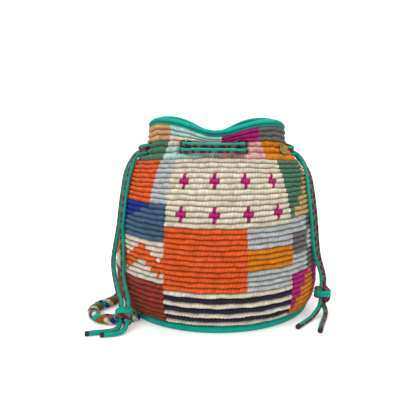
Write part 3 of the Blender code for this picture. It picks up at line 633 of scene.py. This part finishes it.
def make_wall():
    """The outer face: every round a plump rib, every stitch a slanted bump in it."""
    per_stitch, per_row = 3, 4
    count = COLUMNS * per_stitch
    levels = np.arange(ALL_ROWS * per_row + 1) / per_row
    column = np.arange(count) / per_stitch
    rows = np.repeat(levels[:, None], count, axis=1)
    columns = column[None, :] + SHEAR * (rows - ALL_ROWS / 2)
    azimuth = 2 * math.pi * columns / COLUMNS
    within = rows % 1.0
    phase = RNG.uniform(0.0, 2 * math.pi, ALL_ROWS + 1)[np.minimum(rows.astype(int), ALL_ROWS)]
    wander = two_waves(azimuth, phase, RIB_WANDER) * np.sin(math.pi * within)
    rib = np.sin(math.pi * np.clip(within + wander, 0.0, 1.0)) ** 0.62
    groove = (np.arange(count) % per_stitch == 0)[None, :]
    stitch = np.where(groove, -STITCH_GROOVE, STITCH_BULGE) * (0.25 + 0.75 * rib)
    uneven = RNG.normal(0.0, 0.00016, rows.shape) * rib
    relief = RIB_HEIGHT * rib - RIB_SINK + stitch + two_waves(azimuth, rows, RIB_WOBBLE) + uneven
    relief[0] = -FOOT_SINK
    relief[-1] = 0.0
    sway = two_waves(azimuth, rows, ROW_SWAY) * np.clip(np.minimum(rows, ALL_ROWS - rows), 0.0, 1.0)
    points = wall_points(azimuth, rows + sway) + wall_normals(azimuth, rows, True) * relief[..., None]
    face_rows = np.minimum(levels[:-1].astype(int), ALL_ROWS - 1)
    face_columns = np.floor(columns[:-1] + SHEAR * (0.5 - within[:-1]) + SHEAR / 2 + 0.5)
    faces = STITCHES[face_rows[:, None], face_columns.astype(int) % COLUMNS]
    strand = RNG.normal(1.0, 0.06, rows.shape).clip(0.84, 1.12)
    # Painted shade: the colour is darker down in the grooves between rows and a little darker in the grooves
    # between stitches; strand is random tone of the yarn
    shade = (0.26 + 0.74 * rib) * np.where(groove, 0.90, 1.0) * strand
    keep = open_faces(points, shrink=0.0015)
    wall = grid_piece("bag_wall", points, corner_colours(faces, shade[:-1], shade[1:]),
                      yarn_material("crochet_cotton"), keep=keep)
    line_holes(wall)
    return wall


def line_holes(wall):
    """Turns the edges of the eyelets and the strap hole into the wall, as the yarn does there."""
    work = bmesh.new()
    work.from_mesh(wall.data)
    edges = [edge for edge in work.edges if edge.is_boundary and beside_hole(edge.verts[0].co)]
    made = bmesh.ops.extrude_edge_only(work, edges=edges)
    for vertex in made["geom"]:
        if isinstance(vertex, bmesh.types.BMVert):
            inward = Vector((vertex.co.x, vertex.co.y, 0.0)).normalized()
            vertex.co -= inward * (WALL + HOLE_LINING)
    loose = [vertex for vertex in work.verts if not vertex.link_faces]
    bmesh.ops.delete(work, geom=loose, context="VERTS")
    work.to_mesh(wall.data)
    work.free()
    wall.data.shade_smooth()


def beside_hole(place):
    """Whether a point on an open edge of the wall lies at a hole and not at the foot or the rim."""
    rim = wall_points(math.atan2(place.x, -place.y), ALL_ROWS)
    return place.z > 0.02 and abs(place.z - rim[2]) >= 0.004


def rings(radii, turn, heights):
    """Rings of points round the bag's axis."""
    across, ahead = radii[:, None] * np.sin(turn), -radii[:, None] * np.cos(turn)
    return np.stack(np.broadcast_arrays(across, ahead, heights), axis=-1)


def make_inside():
    """The inner face of the crochet and the floor of the bag."""
    turn = full_turn(COLUMNS)
    levels = np.maximum(np.arange(2 * ALL_ROWS + 1)[::-1] / 2.0, INNER_FOOT_ROW)
    rows, azimuth = np.meshgrid(levels, turn, indexing="ij")
    rib = np.sin(math.pi * (rows % 1.0))
    normal = wall_normals(azimuth, rows, True)
    points = wall_points(azimuth, rows, WALL) - normal * (0.0002 + 0.0009 * rib)[..., None]
    faces = STITCHES[np.clip(levels[1:].astype(int), 0, ALL_ROWS - 1)]
    carried = RNG.random(faces.shape[:2]) < 0.16
    faces[carried] = faces[carried] * 0.45 + np.array(YARN["cream"]) * 0.25
    # Painted shade: the inner face is drawn darker in the grooves between rows
    shade = 0.45 + 0.4 * rib ** 0.7
    keep = open_faces(points, shrink=-0.0005)
    # The tint paints shade over the whole inside: the inner wall and the bag's floor are drawn at 0.82 of
    # their colour
    look = yarn_material("crochet_inside", tint=(0.82, 0.82, 0.82))
    grid_piece("bag_inside", points, corner_colours(faces, shade[:-1], shade[1:]), look,
               keep=keep)
    rounds = 24
    radii = np.linspace(FLOOR_EDGE_RADIUS, 0.0008, rounds * 2 + 1)
    every_other = np.arange(len(radii)) % 2
    height = np.interp(radii, [BASE_RADIUS - INNER_FILLET, FLOOR_EDGE_RADIUS],
                       [BASE_THICKNESS, FLOOR_EDGE_HEIGHT])
    floor = rings(radii, turn, (height + 0.0006 * every_other)[:, None])
    tone = RNG.normal(1.0, 0.05, (len(radii) - 1, 1))[..., None]
    colour = np.ones((len(radii) - 1, COLUMNS, 3)) * np.array(YARN["teal"]) * tone
    # Painted shade: the lower round between each pair of raised rounds is drawn darker
    shade = (0.55 + 0.35 * every_other)[:, None]
    grid_piece("bag_floor", floor, corner_colours(colour, shade[:-1], shade[1:]), look)


def make_base():
    """The underside, crocheted in rounds, and the turn of the wall over the piping."""
    count = COLUMNS * 2
    rounds = 18
    radii = np.concatenate((np.linspace(0.0006, BASE_RADIUS, rounds * 4 + 1),
                            [BASE_RADIUS, BASE_RADIUS + 0.001, FOOT_RADIUS - 0.0005]))
    ripple = np.abs(np.sin(np.linspace(0.0, math.pi * rounds, rounds * 4 + 1))) ** 0.6
    height = np.concatenate((0.0016 - 0.0016 * ripple, [0.0040, FOOT_HEIGHT + 0.0002, FOOT_HEIGHT + 0.0001]))
    lean = np.repeat(height[:, None], count, axis=1)
    lean[1:rounds * 4] = np.maximum(lean[1:rounds * 4] + 0.0002 * (np.arange(count) % 2), 0.0)
    points = rings(radii, full_turn(count), lean)
    tone = RNG.normal(1.0, 0.04, (len(radii) - 1, count, 1)).clip(0.88, 1.12)
    colour = np.ones((len(radii) - 1, count, 3)) * np.array(YARN["teal"]) * tone
    # Painted shade: darker in the grooves between rounds, and darkest on the turn of the wall tucked in
    # behind the piping
    shade = np.concatenate((0.45 + 0.55 * ripple, [0.4, 0.3, 0.3]))[:, None]
    grid_piece("bag_base", points, corner_colours(colour, shade[:-1], shade[1:]),
               yarn_material("base_crochet"))


# Edging and piping

def ring_sweep(name, centre, outward, profile, tone, look):
    """A closed ring: for each step round it, a loop of (out, up) pairs."""
    points = (centre[:, None] + outward[:, None] * profile[..., 0:1]
              + np.array((0.0, 0.0, 1.0)) * profile[..., 1:2])
    return grid_piece(name, points.transpose(1, 0, 2), loop_corners(tone.transpose(1, 0, 2)), look,
                      closed_v=True)


def make_edging():
    """Two plump teal ridges round the mouth, with their slanted stitches."""
    count = COLUMNS * 4
    turn = full_turn(count)
    centre = wall_points(turn, ALL_ROWS, WALL / 2)
    outward = level_normals(turn, ALL_ROWS)
    angle = full_turn(24)
    out, up = np.cos(angle), np.sin(angle)
    low, high = -0.0006, SEAT_GAP + 0.0004 + EDGING_HEIGHT
    middle, half_height = (low + high) / 2, (high - low) / 2
    waist = 1.0 - 0.36 * np.exp(-((up - EDGING_WAIST) / 0.20) ** 2)
    slant = (np.arange(count)[:, None] / 4.0 + up * 0.9) % 1.0
    bump = 0.00046 * np.sin(math.pi * slant) - 0.00026 + RNG.normal(0.0, 0.00006, slant.shape)
    base_out = np.sign(out) * np.abs(out) ** 0.7 * (EDGING_WIDTH / 2 - 0.0001) * waist
    base_up = middle + np.sign(up) * np.abs(up) ** 0.9 * (half_height - 0.0002)
    profile = np.stack((base_out + bump * out * 1.2, base_up + bump * up), axis=-1)
    # Painted shade: dark in the crease between the two ridges, darker between the slanted stitches, and the
    # lower ridge drawn darker on its underside; the random factor after it is real tone
    shade = 0.16 + 0.84 * (1.0 - np.exp(-((up - EDGING_WAIST) / 0.17) ** 2))
    tone = shade * (0.62 + 0.46 * np.sin(math.pi * slant)) * np.where(up < EDGING_WAIST, 0.80, 1.0)
    tone = tone * RNG.normal(1.0, 0.07, tone.shape).clip(0.84, 1.14)
    colour = tone[..., None] * np.array(EDGING_TEAL)
    return ring_sweep("mouth_edging", centre, outward, profile, colour,
                      yarn_material("edging_yarn"))


def make_piping():
    """The teal piping round the foot."""
    count = COLUMNS * 4
    turn = full_turn(count)
    outward = np.stack((np.sin(turn), -np.cos(turn), np.zeros(count)), axis=-1)
    centre = outward * (BASE_RADIUS + SEAT_GAP + PIPING_WIDTH / 2)
    angle = full_turn(18)
    slant = (np.arange(count)[:, None] / 4.0 + np.sin(angle) * 0.8) % 1.0
    bump = 0.00022 * np.sin(math.pi * slant) - 0.00022
    profile = np.stack((np.cos(angle) * (PIPING_WIDTH / 2 + bump + 0.0004),
                        PIPING_HEIGHT / 2 + np.sin(angle) * (PIPING_HEIGHT / 2 + bump)), axis=-1)
    # Painted shade: darker between the slanted stitches; the random factor after it is real tone
    tone = 0.64 + 0.42 * np.sin(math.pi * slant)
    tone = tone * RNG.normal(1.0, 0.07, tone.shape).clip(0.84, 1.14)
    colour = tone[..., None] * np.array(PIPING_TEAL)
    return ring_sweep("foot_piping", centre, outward, profile, colour,
                      yarn_material("piping_yarn"))


# Cords

def carried_frames(path):
    """Tangents and two cross directions carried along a path without twist."""
    tangents = np.gradient(path, axis=0)
    tangents /= np.linalg.norm(tangents, axis=1, keepdims=True)
    first = np.cross(tangents[0], (0.0, 0.0, 1.0))
    if np.linalg.norm(first) < 0.1:
        first = np.cross(tangents[0], (0.0, 1.0, 0.0))
    first /= np.linalg.norm(first)
    sides = [first]
    for i in range(1, len(path)):
        side = sides[-1] - tangents[i] * np.dot(sides[-1], tangents[i])
        sides.append(side / np.linalg.norm(side))
    sides = np.array(sides)
    return tangents, sides, np.cross(tangents, sides)


def tube_piece(name, path, radii, colours, look):
    """A tube along a path; radii and colours are given for each step and angle."""
    tangents, sides, others = carried_frames(path)
    angle = full_turn(radii.shape[1])[:, None]
    direction = sides[:, None] * np.cos(angle) + others[:, None] * np.sin(angle)
    points = path[:, None] + direction * radii[..., None]
    narrow = path[:, None] + direction * radii[..., None] * CAP_SHARE
    start = narrow[:1] - tangents[:1, None] * CAP_LENGTH
    stop = narrow[-1:] + tangents[-1:, None] * CAP_LENGTH
    points = np.concatenate((start, points, stop), axis=0)
    colours = np.concatenate((colours[:1], colours, colours[-1:]), axis=0)
    return grid_piece(name, points, loop_corners(colours), look)


def coil(centre, axis, first, second, radius, turn, along):
    """A path wound round an axis, given two directions across it."""
    return (np.array(centre) + np.array(axis) * along[:, None]
            + np.array(first) * (radius * np.cos(turn))[:, None]
            + np.array(second) * (radius * np.sin(turn))[:, None])


FLECKS = ("navy", "plum", "rust", "navy", "sage", "rust")


def frame_angle(path, share, direction):
    """The angle round a path at which its surface faces a direction, some share of the way along."""
    _, sides, others = carried_frames(path)
    index = int(share * (len(path) - 1))
    return math.atan2(float(np.dot(others[index], direction)), float(np.dot(sides[index], direction)))


def cord_surface(path, diameter, facing, turns_per_metre=5.0, teal_from=-0.22):
    """Radii and colours of a two-faced crochet cord: one face teal, the other flecked."""
    along = np.arange(len(path))[:, None] * float(np.linalg.norm(path[1] - path[0]))
    turned = full_turn(20) - facing - 2 * math.pi * turns_per_metre * along
    cos_face = np.cos(turned)
    slant = along / CORD_STITCH + np.sin(turned) * 0.55
    fold = np.abs(np.sin(math.pi * slant))
    crease = np.exp(-((cos_face - teal_from - 0.07) / 0.18) ** 2)
    radii = diameter / 2 * (0.93 + 0.09 * fold - 0.10 * crease)
    index = np.floor(slant + 0.5 * (np.sin(turned) > 0)).astype(int) % len(FLECKS)
    fleck = np.array([YARN[name] for name in FLECKS])[index]
    fleck = fleck * 1.10 + 0.008
    teal = np.ones(fleck.shape) * np.array(YARN["teal"]) * 1.04
    share = smooth_step((cos_face - teal_from) / 0.14)[..., None]
    # Painted shade: the cord is darker between its stitches (fold) and in the crease where the teal face
    # meets the flecked face
    colours = (teal * share + fleck * (1.0 - share)) * (0.58 + 0.42 * fold)[..., None]
    return radii, colours * (1.0 - 0.45 * crease)[..., None]


def hanging_route(side, number):
    """One strand from its eyelet over the wall, through the knot and out to its tip."""
    centre, axis, spread = LEFT_KNOT if side == "left" else RIGHT_KNOT
    route = (LEFT_CORD_ROUTES if side == "left" else RIGHT_CORD_ROUTES)[number - 1]
    stops = (LEFT_TAIL_ROUTES if side == "left" else RIGHT_TAIL_ROUTES)[number - 1]
    eyelet, turn = {
        ("left", 1): ("left_front", -1), ("left", 2): ("left_back", 1),
        ("right", 1): ("right_front", 1), ("right", 2): ("right_back", -1),
    }[(side, number)]
    level = -1 if side == "left" else 1
    across = (spread - axis * spread.dot(axis)).normalized() * KNOT_ENTRY * (-1 if number == 1 else 1)
    reach = axis * (KNOT_LENGTH / 2 + SEAT_GAP)
    entry, leave = centre - reach + across, centre + reach + across
    leaving = [EYELETS[eyelet] + turn * step for step in (JOINT_MARGIN, 1.6, 3.2, 5.2)]
    points = [threaded_point(step, level) for step in leaving] + [over_wall(*stop) for stop in route]
    points += [entry - axis * 0.0070, entry]
    upper = smooth_route(points, ROUTE_SPACING)
    tail_points = [leave, leave + axis * 0.0060] + [Vector(stop) for stop in stops]
    lower = smooth_route(tail_points, ROUTE_SPACING)
    inside = np.linspace(upper[-1], lower[0], 12)[1:-1]
    whole = resampled(np.concatenate((upper, inside, lower)), CORD_SPACING)
    return resampled(eased(whole), CORD_SPACING), lower


def eased(path, passes=3, reach=5, held=10.0):
    """A path with its sharpest bends opened out, less and less over the last points before each end."""
    index = np.arange(len(path))
    free = np.clip(np.minimum(index, index[::-1]) / held, 0.0, 1.0)[:, None]
    for _ in range(passes):
        padded = np.pad(path, ((reach, reach), (0, 0)), mode="edge")
        mean = sum(padded[i:i + len(path)] for i in range(2 * reach + 1)) / (2 * reach + 1)
        path = path + (mean - path) * free
    return path


def make_tip(name, route, look):
    """Dark thread bound round the end of a cord."""
    onward = route[-1] - route[-2]
    onward /= np.linalg.norm(onward)
    start = route[-1] + onward * SEAT_GAP * 0.5
    steps = 26
    path = start + onward * np.linspace(0.0, TIP_LENGTH, steps)[:, None]
    wind = np.abs(np.sin(np.arange(steps)[:, None] * 0.85 + full_turn(18) / 2))
    radii = CORD_DIAMETER / 2 * (0.90 + 0.09 * wind)
    radii[-2:] *= 0.86
    # Painted shade and light: the thread is darker between its windings and lighter on their tops
    colours = np.array(BINDING_BLACK) * (0.6 + 0.8 * wind)[..., None]
    return tube_piece(name, path, radii, colours, look)


def make_knot(name, centre, axis, side, look):
    """Three tight wraps and one strand crossing over them."""
    first = axis.cross(Vector((0.3, 0.9, 0.2))).normalized()
    second = axis.cross(first).normalized()
    wraps = 3.1
    reach = KNOT_RADIUS - CORD_DIAMETER / 2 - 0.0002
    t = np.linspace(0.0, 1.0, 420)
    turn = 2 * math.pi * wraps * t
    tuck = np.clip(np.minimum(t, 1.0 - t) / 0.07, 0.0, 1.0)
    radius = reach * (0.55 + 0.45 * smooth_step(tuck)) * (1.0 - 0.10 * np.abs(2 * t - 1.0) ** 3)
    along = (t - 0.5) * (KNOT_LENGTH - CORD_DIAMETER)
    path = resampled(coil(centre, axis, first, second, radius, turn, along), COIL_SPACING)
    radii, colours = cord_surface(path, CORD_DIAMETER, 2.2 if side == "left" else 0.6, 9.0)
    wraps_piece = tube_piece(name, path, radii, colours, look)
    t = np.linspace(0.0, 1.0, 200)
    start_turn = 3.6 if side == "left" else 4.3
    turn = start_turn + 1.9 * t
    bulge = np.sin(math.pi * t) ** 0.5
    radius = reach * (0.50 + 0.72 * bulge)
    along = (t - 0.5) * (KNOT_LENGTH + 0.001)
    path = resampled(coil(centre, axis, first, second, radius, turn, along), COIL_SPACING)
    radii, colours = cord_surface(path, CORD_DIAMETER * 0.92, 1.0, 9.0)
    cross = tube_piece(name + "_crossing", path, radii, colours, look)
    return wraps_piece, cross


def make_drawcords():
    look = yarn_material("drawcord_yarn", scale=1.4, fibre=0.4)
    tip_look = yarn_material("bound_tip_thread", scale=1.6, roughness=0.7, sheen=0.05)
    teal_sides = {("left", 1): (1.0, -0.30, 0.0), ("left", 2): (1.0, -0.45, 0.0),
                  ("right", 1): (-1.0, -0.35, 0.0), ("right", 2): (-1.0, -0.10, 0.0)}
    for side in ("left", "right"):
        centre, axis, _ = LEFT_KNOT if side == "left" else RIGHT_KNOT
        wraps, crossing = make_knot(side + "_cord_knot", centre, axis, side, look)
        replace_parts(wraps, side + "_knot")
        for number in (1, 2):
            path, tail = hanging_route(side, number)
            facing = frame_angle(path, 0.45, teal_sides[(side, number)])
            radii, colours = cord_surface(path, CORD_DIAMETER, facing, 0.0, 0.05)
            piece = tube_piece(f"{side}_drawcord_{number}", path, radii, colours, look)
            tip = make_tip(f"{side}_cord_tip_{number}", tail, tip_look)
            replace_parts(piece, f"{side}_cord_{number}", f"{side}_tail_{number}")
            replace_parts(tip, f"{side}_tip_{number}")
    for name, start, stop, level, facing in (
            ("drawcord_left_threaded", EYELETS["left_front"], EYELETS["left_back"], -1, 5.3),
            ("drawcord_right_threaded", EYELETS["right_back"], EYELETS["right_front"] + 360, 1, 4.35)):
        turns = np.linspace(start + JOINT_MARGIN, stop - JOINT_MARGIN, 420)
        path = resampled([threaded_point(turn, level) for turn in turns], CORD_SPACING)
        radii, colours = cord_surface(path, CORD_DIAMETER, facing, 0.0, 0.55 if level < 0 else 0.35)
        piece_name = name.replace("drawcord_", "") + "_drawcord"
        piece = tube_piece(piece_name, path, radii, colours, look)
        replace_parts(piece, name)


# Strap

STRAP_YARNS = ("ochre", "cream", "teal", "ochre", "royal", "cream", "ochre", "teal")


def braid_surface(path, diameter):
    """A round eight-strand braid: diamonds where one strand lies over another."""
    loop = 40
    along = np.arange(len(path))[:, None] * float(np.linalg.norm(path[1] - path[0]))
    angle = np.arange(loop) / loop
    one = 4.0 * angle + 4.0 * along / BRAID_PITCH
    two = 4.0 * angle - 4.0 * along / BRAID_PITCH
    i, j = np.floor(one).astype(int), np.floor(two).astype(int)
    over = (i + j) % 2 == 0
    across = np.where(over, one - i, two - j)
    length = np.where(over, two - j, one - i)
    plump = np.sin(math.pi * across) ** 0.6 * (0.72 + 0.28 * np.sin(math.pi * length))
    radii = diameter / 2 * (0.84 + 0.17 * plump)
    colours = np.array([YARN[name] for name in STRAP_YARNS])[np.where(over, i % 4, 4 + j % 4)]
    # Painted shade: darker where a strand dives under its neighbours (plump) and in stripes between the plies
    # of each strand
    painted_ply_shade = 0.88 + 0.16 * np.abs(np.sin(math.pi * (across * 2.0 + length)))
    return radii, colours * (0.30 + 0.74 * plump)[..., None] * painted_ply_shade[..., None]


def strap_path():
    """The strap's path, with the place and direction of its inner knot's face."""
    hole =Vector(wall_points(math.pi, STRAP_HOLE_ROW, WALL / 2))
    outward = Vector(wall_normals(math.pi, STRAP_HOLE_ROW))
    knot_face = hole - outward * (WALL / 2 + STRAP_KNOT_SAG)
    start = knot_face + outward * SEAT_GAP
    points = [start, start + outward * (2 * WALL), start + outward * (3 * WALL)]
    points += [Vector(stop) for stop in STRAP_ROUTE]
    return smooth_route(points, ROUTE_SPACING), knot_face, outward


def make_strap():
    """The braided strap and the knot that holds it inside the back wall."""
    path, knot_face, outward = strap_path()
    radii, colours = braid_surface(path, STRAP_DIAMETER)
    look = yarn_material("strap_yarn", scale=0.9, fibre=0.6)
    strap = tube_piece("braided_strap", path, radii, colours, look)
    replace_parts(strap, "strap")
    centre = knot_face - outward * (STRAP_KNOT_LENGTH / 2)
    first = outward.cross(Vector((1.0, 0.0, 0.0))).normalized()
    second = outward.cross(first).normalized()
    t = np.linspace(0.0, 1.0, 300)
    turn = 2 * math.pi * 1.6 * t
    thick = STRAP_DIAMETER * 0.62
    reach = STRAP_KNOT_RADIUS - thick / 2
    along = (t - 0.5) * (STRAP_KNOT_LENGTH - thick)
    line = resampled(coil(centre, outward, first, second, reach, turn, along), ROUTE_SPACING)
    radii, colours = braid_surface(line, thick)
    knot = tube_piece("strap_end_knot", line, radii, colours, look)
    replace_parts(knot, "strap_inner_knot")


# Tag

def make_disc():
    """The plain brass disc with a rolled edge and its small hanging loop."""
    azimuth = math.radians(DISC_AZIMUTH)
    normal = wall_normals(azimuth, DISC_ROW)
    face = wall_points(azimuth, DISC_ROW, 0.0, False) + normal * (ROW_RELIEF + DISC_SEAT)
    swing = math.radians(DISC_SWING)
    normal = np.array((normal[0] * math.cos(swing) + normal[1] * math.sin(swing),
                       normal[1] * math.cos(swing) - normal[0] * math.sin(swing), normal[2]))
    across = np.cross((0.0, 0.0, 1.0), normal)
    across /= np.linalg.norm(across)
    upward = np.cross(normal, across)
    radius = DISC_DIAMETER / 2
    reach = np.array((0.01, 0.55, 0.86, 0.93, 0.98, 1.0, 0.98, 0.90, 0.5, 0.01)) * radius
    depth = np.array((1.0, 1.0, 1.0, 1.16, 1.10, 0.6, 0.1, 0.0, 0.0, 0.0)) * DISC_THICKNESS
    turn = full_turn(56)
    points = (face + normal * depth[:, None, None] + across * (reach[:, None] * np.cos(turn))[..., None]
              + upward * (reach[:, None] * np.sin(turn))[..., None])[::-1]
    colours = np.ones((len(reach) - 1, len(turn), 4, 3)) * np.array((0.42, 0.28, 0.10))
    look = metal_material("aged_brass", BRASS, 0.40, 0.45, 900.0)
    disc = grid_piece("brass_tag", points, colours, look)
    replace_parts(disc, "brass_disc")
    loop_centre = face + upward * (radius - 2 * DISC_EYE_RADIUS) + normal * DISC_THICKNESS * 0.6
    t = np.linspace(0.0, 2 * math.pi * 0.98, 60)
    ring = (loop_centre + normal * (0.0012 * np.sin(t))[:, None]
            + upward * (0.0012 - 0.0019 * np.cos(t))[:, None])
    radii = np.full((len(t), 10), 0.00042)
    wire = tube_piece("brass_tag_loop", ring, radii, np.full(radii.shape + (3,), 0.3), look)
    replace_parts(wire, "disc_stitch")


# Camera, light and stage

def make_stage():
    """A pale floor that bends up into a backdrop."""
    near, start, radius, wide, high = -1.6, 1.2, 0.9, 3.0, 3.2
    bend = [(near, 0.0), (start, 0.0)]
    for i in range(1, 13):
        turn = math.pi / 2 * i / 12
        bend.append((start + radius * math.sin(turn), radius * (1.0 - math.cos(turn))))
    bend.append((start + radius, high))
    vertices, faces = [], []
    for y, z in bend:
        vertices += [(-wide, y, z), (wide, y, z)]
    for i in range(len(bend) - 1):
        faces.append((2 * i, 2 * i + 1, 2 * i + 3, 2 * i + 2))
    floor_mesh = bpy.data.meshes.new("floor")
    floor_mesh.from_pydata(vertices, [], faces)
    floor_mesh.shade_smooth()
    floor = add_object("floor", floor_mesh)
    look, tree, shader = new_material("pale_floor", {
        "Base Color": (0.93, 0.93, 0.93, 1.0), "Roughness": 0.9, "Emission Color": (1.0, 1.0, 1.0, 1.0),
    })
    glow = add_node(tree, "Math", {1: FLOOR_GLOW}, {0: seen_directly(tree)}, "MULTIPLY")
    tree.links.new(glow.outputs["Value"], shader.inputs["Emission Strength"])
    floor_mesh.materials.append(look)


def seen_directly(tree):
    """One for rays from the camera and for what metal and glass show, nought for light."""
    rays = add_node(tree, "LightPath").outputs
    either = add_node(tree, "Math", {}, {0: rays["Is Camera Ray"], 1: rays["Is Glossy Ray"]}, "MAXIMUM")
    wires = {0: either.outputs["Value"], 1: rays["Is Transmission Ray"]}
    return add_node(tree, "Math", {}, wires, "MAXIMUM").outputs["Value"]


def make_camera():
    data = bpy.data.cameras.new("camera")
    camera = add_object("camera", data)
    camera.location = CAMERA_PLACE
    camera.rotation_euler = (math.radians(90.0 - CAMERA_TILT), 0.0, 0.0)
    data.sensor_width = SENSOR_WIDTH
    data.lens = FOCAL_PIXELS / PICTURE_PIXELS * SENSOR_WIDTH
    data.clip_start = 0.01
    data.clip_end = 20.0
    bpy.context.scene.camera = camera


def area_light(name, place, target, size, power):
    data = bpy.data.lights.new(name, "AREA")
    data.size = size
    data.energy = power
    lamp = add_object(name, data)
    lamp.location = place
    lamp.rotation_euler = (Vector(target) - Vector(place)).to_track_quat("-Z", "Y").to_euler()


def make_light():
    area_light("key", (-0.9, -1.3, 1.5), (0.0, 0.0, 0.10), 1.2, 15.5)
    area_light("fill", (1.3, -1.0, 0.9), (0.0, 0.0, 0.10), 1.4, 7.5)
    area_light("top", (0.0, 0.2, 1.9), (0.0, 0.0, 0.0), 2.2, 19.0)
    world = bpy.data.worlds.new("studio")
    world.use_nodes = True
    background = world.node_tree.nodes["Background"]
    background.inputs["Color"].default_value = (1.0, 1.0, 1.0, 1.0)
    level = add_node(world.node_tree, "MapRange", {"To Min": WORLD_LIGHT, "To Max": WORLD_SEEN},
                     {"Value": seen_directly(world.node_tree)})
    world.node_tree.links.new(level.outputs["Result"], background.inputs["Strength"])
    bpy.context.scene.world = world
    bpy.context.scene.view_settings.view_transform = "Standard"
    bpy.context.scene.view_settings.look = "None"


# The whole scene

make_camera()
make_drawcords()
make_strap()
wall = make_wall()
make_inside()
make_base()
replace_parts(wall, "bag_body")
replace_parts(make_edging(), "rim_edging")
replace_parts(make_piping(), "base_piping")
make_disc()
make_stage()
make_light()
